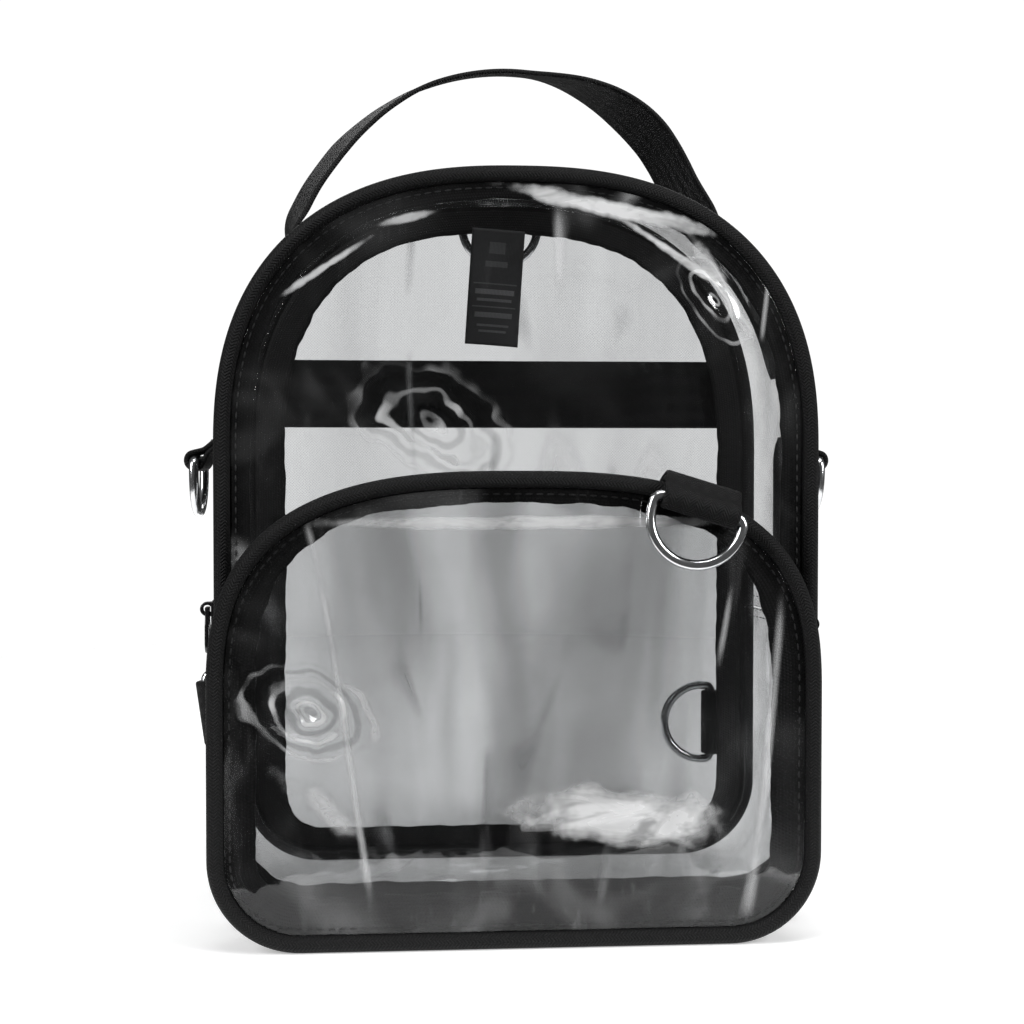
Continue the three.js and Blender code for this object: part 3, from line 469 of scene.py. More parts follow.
def thread_finish(name):
    """Twisted black sewing thread."""
    made, net = new_material(name)
    x, y, z = net.split(net.place())
    twist = (((x + y * 0.8 + z) / (0.35 * MM)) * (2 * math.pi)).sine() * 0.5 + 0.5
    fuzz = net.noise(3000, 2)
    tone = net.blend(twist * 0.5 + fuzz * 0.4, (0.002, 0.002, 0.0022, 1), (0.017, 0.017, 0.018, 1))
    inputs = {"Base Color": tone, "Roughness": 0.45 + 0.2 * fuzz, "Normal": net.bump(twist, 0.05 * MM)}
    net.finish(net.add("ShaderNodeBsdfPrincipled", None, inputs))
    return made


def coil_finish(name):
    """Moulded black nylon teeth."""
    made, net = new_material(name)
    grain = net.noise(1500, 3)
    tone = net.blend(grain, (0.008, 0.008, 0.009, 1), (0.035, 0.035, 0.037, 1))
    inputs = {"Base Color": tone, "Roughness": 0.26 + 0.2 * grain, "Normal": net.bump(grain, 0.03 * MM)}
    net.finish(net.add("ShaderNodeBsdfPrincipled", None, inputs))
    return made


def label_finish(name, width, height):
    """Black woven label with plain grey bars of different lengths."""
    made, net = new_material(name)
    along, across = net.weave_place()
    yarn = ((along / (0.42 * MM)) * (2 * math.pi)).sine() * 0.5 + 0.5
    cross = ((across / (0.5 * MM)) * (2 * math.pi)).sine() * 0.5 + 0.5
    fuzz = net.noise(2400, 2)
    bars = None
    for row in LABEL_BARS:
        middle = along / height - row["down"]
        bar = 1 - (abs(middle) - row["thick"] / 2).rise(-0.002, 0.002)
        reach = 1 - (abs(across / width) - row["wide"] / 2).rise(-0.01, 0.01)
        bar = bar * reach * row["tone"]
        bars = bar if bars is None else bars.most(bar)
    ground = net.blend(yarn * 0.5 + fuzz * 0.5, (0.012, 0.012, 0.013, 1), (0.04, 0.04, 0.042, 1))
    tone = net.blend(bars * (0.55 + 0.45 * cross), ground, opaque(colours().print_grey))
    inputs = {
        "Base Color": tone,
        "Roughness": 0.6 + 0.2 * fuzz,
        "Normal": net.bump(yarn * 0.5 + cross * 0.3 + bars * 0.6, 0.08 * MM),
    }
    net.finish(net.add("ShaderNodeBsdfPrincipled", None, inputs))
    return made


# Bars on the label: places down it and lengths, as shares of its height and width
LABEL_BARS = [
    {"down": 0.16, "thick": 0.10, "wide": 0.30, "tone": 0.45},
    {"down": 0.30, "thick": 0.05, "wide": 0.42, "tone": 0.45},
    {"down": 0.47, "thick": 0.012, "wide": 0.82, "tone": 0.5},
    {"down": 0.54, "thick": 0.045, "wide": 0.74, "tone": 0.85},
    {"down": 0.61, "thick": 0.025, "wide": 0.66, "tone": 0.7},
    {"down": 0.67, "thick": 0.012, "wide": 0.82, "tone": 0.5},
    {"down": 0.74, "thick": 0.045, "wide": 0.70, "tone": 0.7},
    {"down": 0.83, "thick": 0.02, "wide": 0.60, "tone": 0.6},
    {"down": 0.88, "thick": 0.02, "wide": 0.52, "tone": 0.6},
]

finishes = {}


def finish_named(name):
    """Makes a finish the first time it is asked for."""
    if name in finishes:
        return finishes[name]
    film = tuple(colours().film)
    pocket_film = tuple(colours().pocket_film)
    side_film = tuple(colours().gusset_film)
    makers = {
        "webbing": lambda: woven("webbing", 0.95 * MM, 4.2 * MM, 2.2, 0.62 * MM),
        "band": lambda: woven("band", 0.9 * MM, 6.3 * MM, 3.4, 0.6 * MM, 0.5),
        "piping": lambda: woven("piping", 1.05 * MM, 2.72 * MM, 1.1, 0.5 * MM, 0.6, 0.3 * MM, 1.15),
        "zip_tape": lambda: woven("zip_tape", 0.55 * MM, 1.5 * MM, 0.7, 0.5 * MM, 0.72, 0.12 * MM, 0.8),
        "seam_tape": lambda: dotted("seam_tape", 0.92 * MM),
        "pocket_tape": lambda: dotted("pocket_tape", 1.05 * MM, 0.62, 0.2 * MM, 1.2),
        "panel_film": lambda: clear_film("panel_film", film, 0.08, 0.05, 0, 2.5 * MM, FRONT_DENTS, FRONT_GLARES),
        "pocket_film": lambda: clear_film("pocket_film", pocket_film, 0.13, 0.30, 0, 2.5 * MM, POCKET_DENTS, POCKET_GLARES),
        "back_film": lambda: clear_film("back_film", film, 0.04, 0.05, 0.12),
        "gusset_film": lambda: clear_film("gusset_film", side_film, 0.12, 0.05, relief=4.0 * MM),
        "chrome": lambda: chrome_finish("chrome"),
        "enamel": lambda: enamel_finish("enamel"),
        "thread": lambda: thread_finish("thread"),
        "coil": lambda: coil_finish("coil"),
    }
    finishes[name] = makers[name]()
    return finishes[name]


def make_piece(name, vertices, faces, corner_uv, finish, body=BAG, smooth=True):
    """Adds a mesh piece with its own map of metres along and across, riding on a body."""
    mesh = bpy.data.meshes.new(name)
    mesh.from_pydata([tuple(v) for v in vertices], [], faces)
    if corner_uv is not None:
        layer = mesh.uv_layers.new(name=WEAVE_MAP)
        layer.uv.foreach_set("vector", np.asarray(corner_uv, dtype=np.float32).ravel())
    solid = bmesh.new()
    solid.from_mesh(mesh)
    bmesh.ops.recalc_face_normals(solid, faces=solid.faces)
    solid.to_mesh(mesh)
    solid.free()
    mesh.polygons.foreach_set("use_smooth", [smooth] * len(mesh.polygons))
    mesh.materials.append(finish if isinstance(finish, bpy.types.Material) else finish_named(finish))
    piece = bpy.data.objects.new(name, mesh)
    bpy.context.scene.collection.objects.link(piece)
    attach(piece, body)
    return piece


def lattice(rows, columns, loop_rows, loop_columns):
    """Quads of a grid of points, and each corner's place on the unwrapped grid."""
    row, column = np.meshgrid(
        np.arange(rows if loop_rows else rows - 1),
        np.arange(columns if loop_columns else columns - 1),
        indexing="ij",
    )
    row, column = row.ravel(), column.ravel()
    corners = np.stack(
        [np.stack([row + a, column + b], axis=1) for a, b in ((0, 0), (1, 0), (1, 1), (0, 1))], axis=1
    )
    faces = (corners[..., 0] % rows) * columns + corners[..., 1] % columns
    return faces, corners


def running_length(points, loop=False):
    """Length from the first point to each point, and back to the first where they make a loop."""
    if loop:
        points = np.concatenate([points, points[:1]])
    steps = np.linalg.norm(np.diff(points, axis=0), axis=1)
    return np.concatenate([[0.0], np.cumsum(steps)])


def sweep(name, path, across, out, profile, finish, loop=False, mapped="strap", body=BAG):
    """Carries a closed profile along a path. The profile holds places across and outwards, once or per step.

    The map's second number is the place across a strap, round a cord, or inwards on a flat tape.
    """
    count = len(path)
    profile = np.asarray(profile, dtype=float)
    if profile.ndim == 2:
        profile = np.broadcast_to(profile, (count, *profile.shape))
    sides = profile.shape[1]
    points = path[:, None] + profile[..., :1] * across[:, None] + profile[..., 1:] * out[:, None]
    faces, corners = lattice(count, sides, loop, True)
    along = running_length(path, loop)
    if mapped == "round":
        spread = np.broadcast_to(running_length(profile[0], True), (count, sides + 1))
    else:
        column = profile[..., 0] if mapped == "strap" else -profile[..., 1]
        spread = np.concatenate([column, column[:, :1]], axis=1)
    spread = np.concatenate([spread, spread[:1]])
    uv = np.stack([along[corners[..., 0]], spread[corners[..., 0], corners[..., 1]]], axis=-1)
    faces = faces.tolist()
    uv = uv.reshape(-1, 2)
    if not loop:
        for row in (0, count - 1):
            faces.append(list(range(row * sides, (row + 1) * sides)))
            uv = np.concatenate([uv, np.stack([np.full(sides, along[row]), spread[row, :sides]], axis=1)])
    return make_piece(name, points.reshape(-1, 3), faces, uv, finish, body)


def slab(name, outer, inner, finish, uv_grid=None):
    """Thin sheet between two matching grids of points, closed round its rim."""
    rows, columns = outer.shape[:2]
    faces, corners = lattice(rows, columns, False, False)
    count = rows * columns
    if uv_grid is None:
        uv_grid = outer[..., [0, 2]]
    flat_uv = uv_grid.reshape(-1, 2)
    rim = [c for c in range(columns)]
    rim += [r * columns + columns - 1 for r in range(1, rows)]
    rim += [(rows - 1) * columns + c for c in range(columns - 2, -1, -1)]
    rim += [r * columns for r in range(rows - 2, 0, -1)]
    sides = [[a, b, b + count, a + count] for a, b in zip(rim, rim[1:] + rim[:1])]
    every = faces.tolist() + (faces[:, ::-1] + count).tolist() + sides
    corner_uv = flat_uv[np.asarray(every).ravel() % count]
    points = np.concatenate([outer.reshape(-1, 3), inner.reshape(-1, 3)])
    return make_piece(name, points, every, corner_uv, finish)


def disc_profile(radius, sides):
    turn = np.linspace(0, 2 * math.pi, sides, endpoint=False)
    return np.stack([radius * np.sin(turn), radius * np.cos(turn)], axis=1)


def strap_profile(width, thickness, columns=6, edge=4):
    """Flat strap with round edges."""
    half, radius = width / 2, thickness / 2
    top = [(x, radius) for x in np.linspace(radius - half, half - radius, columns)]
    turn = np.linspace(0, math.pi, edge + 1)[1:-1]
    right = [(half - radius + radius * math.sin(a), radius * math.cos(a)) for a in turn]
    half_loop = top + right
    return np.array(half_loop + [(-x, -z) for x, z in half_loop])


class Seam:
    """Outline of a panel's seam, from the middle of the bottom round to the right and back.

    Each row holds the place across and up and the outward direction across and up.
    """

    def __init__(self, width, height, spring, power, y, shift=0.0):
        s = sizes()
        radius = s.piping / 2
        half = width / 2 - radius
        corner = s.corner_radius - radius
        rise = height - radius - spring
        bottom = [(x, radius, 0, -1) for x in np.linspace(0, half - corner, 20, endpoint=False)]
        bend = [
            (half - corner + corner * math.sin(a), radius + corner - corner * math.cos(a), math.sin(a), -math.cos(a))
            for a in np.linspace(0, math.pi / 2, 24, endpoint=False)
        ]
        side = [(half, z, 1, 0) for z in np.linspace(radius + corner, spring, 60, endpoint=False)]
        arch = []
        for a in np.linspace(0, math.pi / 2, 240):
            across = max(math.cos(a), 0) ** (2 / power)
            up = math.sin(a) ** (2 / power)
            slope = np.array([across ** (power - 1) / half, up ** (power - 1) / rise])
            slope /= np.linalg.norm(slope)
            arch.append((across * half, spring + up * rise, slope[0], slope[1]))
        right = np.array(bottom + bend + side + arch)
        left = right[-2::-1] * [-1, 1, -1, 1]
        self.rows = np.concatenate([right, left])
        self.rows[:, 0] += shift
        self.y = y
        self.height = height
        self.shift = shift
        self.length = running_length(self.rows[:, :2])

    def moved(self, y):
        """The same seam at another depth."""
        other = copy.copy(self)
        other.y = y
        return other

    def places(self, count, start=None, end=None):
        """Evenly spaced places along the seam, as positions in its rows."""
        low = 0 if start is None else np.interp(start, range(len(self.length)), self.length)
        high = self.length[-1] if end is None else np.interp(end, range(len(self.length)), self.length)
        lengths = np.linspace(low, high, count, endpoint=end is not None)
        return np.interp(lengths, self.length, range(len(self.length)))

    def pick(self, places):
        return np.stack([np.interp(places, range(len(self.rows)), self.rows[:, k]) for k in range(4)], axis=-1)

    def at_height(self, z):
        """Place on the right side that is at a height. The left side mirrors it."""
        half = len(self.rows) // 2 + 1
        return float(np.interp(z, self.rows[:half, 1], range(half)))

    def half_at(self, z, inset):
        """Half width of the panel inside the seam at a height."""
        half = len(self.rows) // 2 + 1
        across = self.rows[:half, 0] - self.shift - inset * self.rows[:half, 2]
        up = self.rows[:half, 1] - inset * self.rows[:half, 3]
        return np.interp(z, up, across)

    def loop(self, count, inset=0.0, lift=0.0):
        """Points along the seam with their outward and across directions."""
        rows = self.pick(self.places(count))
        out = np.stack([rows[:, 2], np.zeros(count), rows[:, 3]], axis=1)
        points = np.stack([rows[:, 0], np.full(count, self.y + lift), rows[:, 1]], axis=1) - out * inset
        across = np.tile([0.0, 1.0, 0.0], (count, 1))
        return points, across, out


seams = {}
walls = {}


def draw_seams():
    s = sizes()
    seams["front"] = Seam(s.body_width, s.front_height, s.arch_spring, s.arch_power, FRONT_Y)
    seams["back"] = Seam(s.body_width, s.back_height, s.arch_spring, s.arch_power, BACK_Y)
    seams["pocket"] = Seam(s.pocket_width, s.pocket_height, s.pocket_spring, s.pocket_power, POCKET_Y, POCKET_X)
    walls["body"] = Wall(seams["front"], seams["back"], body_out)
    walls["pocket"] = Wall(seams["pocket"], seams["pocket"].moved(BACK_Y), pocket_out)


def waves(x, z, seed, scale):
    """Smooth made-up unevenness between about -1 and 1."""
    total = np.zeros(np.broadcast(x, z).shape)
    for k in range(5):
        turn = seed * 1.7 + k * 2.39996
        reach = scale * (1.35**k)
        phase = seed * 3.1 + k * 1.3
        total += np.sin((x * math.cos(turn) + z * math.sin(turn)) * reach + phase) / (1 + 0.5 * k)
    return total / 2.8


def hump(x, z, half, low, high):
    up = np.clip((z - low) / (high - low), 0, 1)
    side = np.clip(np.abs(x) / half, 0, 1)
    return np.sin(math.pi * up) * np.cos(math.pi / 2 * side) ** 0.7


def dent(x, z, row):
    """Pucker in the film: a dimple with rings round it."""
    turn = math.radians(row["turn"])
    dx, dz = x - row["x"], z - row["z"]
    u = (dx * math.cos(turn) + dz * math.sin(turn)) / row["long"]
    v = (dz * math.cos(turn) - dx * math.sin(turn)) / row["wide"]
    radius = np.sqrt(u * u + v * v)
    return row["deep"] * np.exp(-1.6 * radius**2) * np.cos(row["rings"] * radius)


def crease(x, z, row):
    """Sharp low ridge between two points."""
    start = np.array([row["x"], row["z"]])
    run = np.array([row["to_x"], row["to_z"]]) - start
    length = np.hypot(*run)
    along = ((x - start[0]) * run[0] + (z - start[1]) * run[1]) / length
    off = ((z - start[1]) * run[0] - (x - start[0]) * run[1]) / length
    ends = np.clip(along / length, 0, 1)
    return row["deep"] * np.exp(-np.abs(off) / row["wide"]) * np.sin(math.pi * ends) ** 0.5


# Dimples and creases in the film, in metres. A dimple's glare sets how strong its rings of painted highlight and
# painted shade are.
FRONT_DENTS = [
    {"x": -0.0283, "z": 0.1604, "long": 0.021, "wide": 0.012, "turn": -28, "deep": 0.0026, "rings": 5.2, "glare": 0.8},
    {"x": 0.0620, "z": 0.1980, "long": 0.013, "wide": 0.006, "turn": -52, "deep": 0.0014, "rings": 6.0, "glare": 0.5},
]
FRONT_CREASES = [
    {"x": 0.0345, "z": 0.2195, "to_x": 0.0695, "to_z": 0.1825, "wide": 0.0006, "deep": 0.0006},
    {"x": 0.0690, "z": 0.1835, "to_x": 0.0715, "to_z": 0.1530, "wide": 0.0006, "deep": 0.0005},
    {"x": -0.0620, "z": 0.2020, "to_x": -0.0430, "to_z": 0.2170, "wide": 0.0007, "deep": 0.0006},
]
POCKET_DENTS = [
    {"x": -0.0648, "z": 0.0725, "long": 0.017, "wide": 0.010, "turn": -14, "deep": 0.0024, "rings": 5.6, "glare": 0.8},
    {"x": 0.0230, "z": 0.0370, "long": 0.034, "wide": 0.010, "turn": 6, "deep": 0.0016, "rings": 2.6},
    {"x": 0.0560, "z": 0.0830, "long": 0.010, "wide": 0.030, "turn": 8, "deep": 0.0010, "rings": 3.0},
]
# Patches of painted highlight on the film, in metres, where slack folds would catch the light
FRONT_GLARES = [
    {"x": 0.0290, "z": 0.2265, "long": 0.034, "wide": 0.0032, "turn": -12, "torn": 75, "wild": 1.5, "core": 0.45, "haze_and_painted_highlight": 0.95},
    {"x": 0.0480, "z": 0.2130, "long": 0.026, "wide": 0.0016, "turn": -34, "torn": 110, "wild": 1.8, "core": 0.35, "haze_and_painted_highlight": 0.8},
    {"x": 0.0640, "z": 0.2020, "long": 0.020, "wide": 0.0030, "turn": -58, "torn": 90, "wild": 1.6, "core": 0.35, "haze_and_painted_highlight": 0.5},
    {"x": -0.0600, "z": 0.2080, "long": 0.018, "wide": 0.0014, "turn": 34, "torn": 120, "wild": 1.6, "core": 0.35, "haze_and_painted_highlight": 0.55},
    {"x": -0.0350, "z": 0.2230, "long": 0.012, "wide": 0.0016, "turn": 14, "torn": 120, "wild": 1.6, "core": 0.35, "haze_and_painted_highlight": 0.45},
]
POCKET_GLARES = [
    {"x": 0.0290, "z": 0.0405, "long": 0.036, "wide": 0.0105, "turn": -8, "torn": 42, "wild": 1.3, "core": 0.30, "haze_and_painted_highlight": 0.95},
    {"x": 0.0000, "z": 0.1290, "long": 0.078, "wide": 0.0026, "turn": 0, "torn": 50, "wild": 0.9, "core": 0.30, "haze_and_painted_highlight": 0.55},
    {"x": -0.0560, "z": 0.0400, "long": 0.022, "wide": 0.0050, "turn": -38, "torn": 70, "wild": 2.4, "core": 0.05, "haze_and_painted_highlight": 0.35},
]
POCKET_CREASES = [
    {"x": -0.0780, "z": 0.0560, "to_x": -0.0590, "to_z": 0.0290, "wide": 0.0006, "deep": 0.0006},
    {"x": 0.0790, "z": 0.0620, "to_x": 0.0640, "to_z": 0.0310, "wide": 0.0006, "deep": 0.0006},
    {"x": -0.0180, "z": 0.1080, "to_x": -0.0050, "to_z": 0.0640, "wide": 0.0012, "deep": 0.0004},
    {"x": 0.0280, "z": 0.1000, "to_x": 0.0190, "to_z": 0.0420, "wide": 0.0012, "deep": 0.0004},
]
BACK_CREASES = [
    {"x": -0.0700, "z": 0.0470, "to_x": -0.0450, "to_z": 0.0180, "wide": 0.0006, "deep": 0.0005},
    {"x": 0.0690, "z": 0.0470, "to_x": 0.0480, "to_z": 0.0200, "wide": 0.0006, "deep": 0.0005},
]


def film_panel(name, node, seam, facing, height_of, finish, rows=110, columns=100):
    """Clear panel filling a seam, its height off the seam's plane given by a function."""
    s = sizes()
    bottom = s.piping / 2 + s.film_inset
    top = seam.height - s.piping / 2 - s.film_inset
    spread = 0.5 - 0.5 * np.cos(np.linspace(0.045, math.pi - 0.025, rows))
    spread = (spread - spread[0]) / (spread[-1] - spread[0])
    z = bottom + (top - bottom) * spread
    half = np.maximum(seam.half_at(z, s.film_inset), 0.002)
    across = np.sin(np.linspace(-1, 1, columns) * math.pi / 2 * 0.86) / math.sin(math.pi / 2 * 0.86)
    x = seam.shift + half[:, None] * across[None]
    z = np.broadcast_to(z[:, None], x.shape)
    y = seam.y + facing * height_of(x - seam.shift, z)
    outer = np.stack([x, y + facing * s.film / 2, z], axis=-1)
    inner = np.stack([x, y - facing * s.film / 2, z], axis=-1)
    piece = slab(name, outer, inner, finish)
    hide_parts(node)
    return piece


def edge_fade(x, z, seam, reach=0.012):
    """0 at the panel's edge and 1 further in than reach."""
    gap = seam.half_at(z, sizes().film_inset) - np.abs(x)
    low = z - 0.005
    high = seam.height - 0.005 - z
    near = np.minimum(np.minimum(gap, low), high)
    return np.clip(near / reach, 0, 1)


def build_panels():
    s = sizes()
    half = s.body_width / 2
    front, back, pocket = seams["front"], seams["back"], seams["pocket"]
    shelf = s.pocket_height + 0.002

    def front_height(x, z):
        free = np.clip((z - shelf) / 0.01, 0, 1)
        bow = 0.003 * hump(x, z, half, shelf - 0.004, s.front_height)
        dents = -sum(dent(x, z, row) for row in FRONT_DENTS)
        ridges = sum(crease(x, z, row) for row in FRONT_CREASES)
        soft = 0.0004 * waves(x, z, 1, 90) + 0.0001 * waves(x, z, 4, 420)
        return bow + (dents + ridges + soft) * free * edge_fade(x, z, front)

    def pocket_height(x, z):
        bow = 0.0035 * hump(x, z, s.pocket_width / 2, 0, s.pocket_height)
        dents = -sum(dent(x, z, row) for row in POCKET_DENTS)
        ridges = sum(crease(x, z, row) for row in POCKET_CREASES)
        soft = 0.0006 * waves(x, z, 2, 75) + 0.00012 * waves(x, z, 5, 380)
        lip = 0.0012 * np.exp(-(((z - s.pocket_height + 0.019) / 0.006) ** 2))
        return bow + (dents + ridges + soft + lip) * edge_fade(x, z, pocket)

    def back_height(x, z):
        bow = 0.0015 * hump(x, z, half, 0, s.back_height)
        ridges = sum(crease(x, z, row) for row in BACK_CREASES)
        soft = 0.0003 * waves(x, z, 3, 80) + 0.00008 * waves(x, z, 6, 400)
        return bow - 0.0002 + (ridges + soft) * edge_fade(x, z, back)

    film_panel("front_film", "front_panel", front, -1, front_height, "panel_film")
    film_panel("pocket_film", "pocket_panel", pocket, -1, pocket_height, "pocket_film")
    film_panel("back_film", "back_panel", back, 1, back_height, "back_film")


class Wall:
    """Side wall between two seams: turns places along a seam, depths and lifts into points."""

    def __init__(self, front, back, out_of):
        self.front = front
        self.back = back
        self.out_of = out_of
        self.length = front.length
        self.last = len(front.rows) - 1

    def point(self, places, y, lift):
        part = (y - self.front.y) / (self.back.y - self.front.y)
        part = np.broadcast_to(part, np.shape(places))[..., None]
        rows = self.front.pick(places) * (1 - part) + self.back.pick(places) * part
        out = self.out_of(rows, y) + lift
        y = np.broadcast_to(y, out.shape)
        return np.stack([rows[..., 0] + rows[..., 2] * out, y, rows[..., 1] + rows[..., 3] * out], axis=-1)

    def run(self, places, y, lift):
        """Points along the wall with the across and outward directions there."""
        depth = np.full(len(places), y)
        points = self.point(places, depth, lift)
        out = self.point(places, depth, 1.0) - self.point(places, depth, 0.0)
        out /= np.linalg.norm(out, axis=1, keepdims=True)
        return points, np.tile([0.0, 1.0, 0.0], (len(places), 1)), out

    def along(self, places):
        return np.interp(places, range(len(self.length)), self.length)

    def at(self, lengths):
        return np.interp(lengths, self.length, range(len(self.length)))


def body_out(rows, y):
    """How far the body's side wall stands out of the seam line."""
    s = sizes()
    depth = np.clip((y - GUSSET_FRONT) / (GUSSET_BACK - GUSSET_FRONT), 0, 1)
    full = 1 - np.abs(2 * depth - 1) ** 3.9
    sideways, up = rows[..., 2], rows[..., 3]
    sag = np.where(up < 0, s.bottom_sag * up**2, 0)
    return (s.side_bulge * sideways**2 + sag) * full - s.gusset_inset


def pocket_out(rows, y):
    """How far the pocket's side wall stands out of its seam line: it narrows towards the body."""
    low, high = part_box("pocket_gusset")
    return -sizes().gusset_inset - 0.0032 * (y - low[1]) / (high[1] - low[1]) + 0 * rows[..., 0]


def build_wall(name, wall, places, depths, lift_of, thickness, finish, loop=False):
    """Thin sheet on a side wall over places along the seam and depths."""
    grid_place, grid_y = np.meshgrid(places, depths, indexing="ij")
    lift = lift_of(grid_place, grid_y)
    outer = wall.point(grid_place, grid_y, lift + thickness / 2)
    inner = wall.point(grid_place, grid_y, lift - thickness / 2)
    if loop:
        outer = np.concatenate([outer, outer[:1]])
        inner = np.concatenate([inner, inner[:1]])
        grid_place = np.concatenate([grid_place, grid_place[:1] + wall.last])
        grid_y = np.concatenate([grid_y, grid_y[:1]])
    return slab(name, outer, inner, finish, np.stack([wall.along(grid_place), grid_y], axis=-1))


def flat_lift(places, y):
    return np.zeros(np.shape(y))


def declare_wall(wall, places, depths):
    """Works out points along the middle of a side wall's depth; nothing is done with them."""
    middle = wall.point(places, np.full(len(places), (depths[0] + depths[-1]) / 2), 0.0)


def build_gussets():
    s = sizes()
    wall = walls["body"]
    seam = wall.front
    join = seam.at_height(JOIN_Z)
    lower = np.concatenate([seam.places(110, wall.last - join + 0.3, wall.last), seam.places(110, 0, join - 0.3)[1:]])
    upper = seam.places(260, join, wall.last - join)
    back_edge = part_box("gusset_upper")[0][1]

    def crinkle(places, y):
        along = wall.along(places)
        fade = np.clip(np.minimum(y - GUSSET_FRONT, GUSSET_BACK - y) / 0.01, 0, 1)
        return (0.0004 * waves(along, y, 7, 120) + 0.0001 * waves(along, y, 8, 500)) * fade

    def over_tape(places, y):
        lap = np.clip((back_edge + 0.0035 - y) / 0.004, 0, 1)
        return crinkle(places, y) * (1 - lap) + 0.0010 * lap * lap * (3 - 2 * lap)

    depths = np.linspace(GUSSET_FRONT, GUSSET_BACK, 44)
    piece = build_wall("gusset_lower_film", wall, lower, depths, crinkle, s.film, "gusset_film")
    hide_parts("gusset_lower")
    declare_wall(wall, lower, depths)
    depths = np.linspace(back_edge - 0.003, GUSSET_BACK, 34)
    piece = build_wall("gusset_upper_film", wall, upper, depths, over_tape, s.film, "gusset_film")
    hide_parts("gusset_upper")
    declare_wall(wall, upper, depths)


def build_coil(name, wall, places, node, lift):
    """Two cords on a zipper's middle with interlocking teeth on them."""
    low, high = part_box(node)
    middle, half = (low[1] + high[1]) / 2, (high[1] - low[1]) / 2
    points, across, out = wall.run(places, middle, lift)
    base = sweep(f"{name}_cords", points, across, out, strap_profile(half * 2, 0.0012, 4, 4), "coil")
    s = sizes()
    low, high = wall.along(places[[0, -1]])
    count = int((high - low) / (s.tooth / 2)) - 2
    where = wall.at(low + (np.arange(count) + 1.5) * s.tooth / 2)
    points, across, out = wall.run(where, middle, lift + 0.0006)
    side = np.where(np.arange(count) % 2 == 0, 1.0, -1.0)
    centres = points + across * (side * half * 0.36)[:, None]
    reach = (s.tooth * 0.34, half * 0.62, 0.0008)
    beads(f"{name}_teeth", centres, np.cross(across, out), across, out, reach, "coil")
    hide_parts(node)


def build_zippers():
    s = sizes()
    wall = walls["body"]
    join = wall.front.at_height(JOIN_Z)
    places = wall.front.places(340, join, wall.last - join)
    for node, reach in (("zip_tape_front", 0.0), ("zip_tape_back", 0.0)):
        low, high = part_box(node)
        piece = build_wall(
            f"{node}_weave", wall, places, np.linspace(low[1], high[1], 7), flat_lift, 0.001, "zip_tape"
        )
        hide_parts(node)
    build_coil("zip_coil", wall, places, "zip_coil", 0.0)
    low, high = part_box("zip_coil")
    back_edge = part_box("gusset_upper")[0][1]
    rows = ((GUSSET_FRONT + 0.003, 0.0006), (low[1] - 0.0045, 0.0006), (high[1] + 0.004, 0.0006), (back_edge - 0.0015, 0.0014))
    for order, (y, lift) in enumerate(rows):
        stitch_wall(f"zip_stitches_{order + 1}", wall, join, wall.last - join, y, lift)
    pocket = walls["pocket"]
    low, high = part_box("pocket_gusset")
    around = pocket.front.places(420)
    piece = build_wall(
        "pocket_gusset_weave", pocket, around, np.linspace(low[1], high[1], 8), flat_lift, 0.0012, "zip_tape", True
    )
    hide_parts("pocket_gusset")
    start = pocket.front.at_height(s.pocket_spring)
    places = pocket.front.places(240, start, pocket.last - start)
    build_coil("pocket_zip_coil", pocket, places, "pocket_zip_coil", 0.0013)


def beads(name, centres, long_axis, wide_axis, tall_axis, reach, finish, body=BAG):
    """Small rounded lumps in one mesh: a wide ring low, a narrower one high, and two tips."""
    turn = np.linspace(0, 2 * math.pi, 8, endpoint=False)
    ring = np.stack([np.cos(turn), np.sin(turn), np.zeros(8)], axis=1)
    shape = np.concatenate([ring + [0, 0, -0.35], ring * 0.82 + [0, 0, 0.55], [[0, 0, -0.8]], [[0, 0, 0.85]]])
    axes = np.stack([long_axis, wide_axis, tall_axis], axis=1)
    points = centres[:, None] + np.einsum("vk,nkd->nvd", shape * reach, axes)
    faces = []
    for a in range(8):
        b = (a + 1) % 8
        faces += [[a, b, b + 8, a + 8], [b, a, 16], [a + 8, b + 8, 17]]
    every = [[v + 18 * n for v in face] for n in range(len(centres)) for face in faces]
    return make_piece(name, points.reshape(-1, 3), every, None, finish, body)


def stitches(name, points, along, out):
    """Row of thread stitches centred on points."""
    s = sizes()
    reach = (s.stitch * 0.34, s.thread * 0.55, s.thread * 0.7)
    return beads(name, points, along, np.cross(out, along), out, reach, "thread")


def stitch_wall(name, wall, start, end, y, lift):
    """Stitches along a side wall between two places on its seam."""
    low, high = wall.along(np.array([start, end]))
    count = int((high - low) / sizes().stitch)
    where = wall.at(low + (np.arange(count) + 0.5) * (high - low) / count)
    points, across, out = wall.run(where, y, lift)
    return stitches(name, points, np.cross(across, out), out)


def stitch_join(name, wall, place, lift):
    """Stitches across a side wall, from front to back, at one place on its seam."""
    count = int((GUSSET_BACK - GUSSET_FRONT) / sizes().stitch)
    depth = GUSSET_FRONT + (np.arange(count) + 0.5) * (GUSSET_BACK - GUSSET_FRONT) / count
    points = wall.point(np.full(count, place), depth, lift)
    out = wall.point(np.full(count, place), depth, 1.0) - wall.point(np.full(count, place), depth, 0.0)
    out /= np.linalg.norm(out, axis=1, keepdims=True)
    return stitches(name, points, np.tile([0.0, 1.0, 0.0], (count, 1)), out)


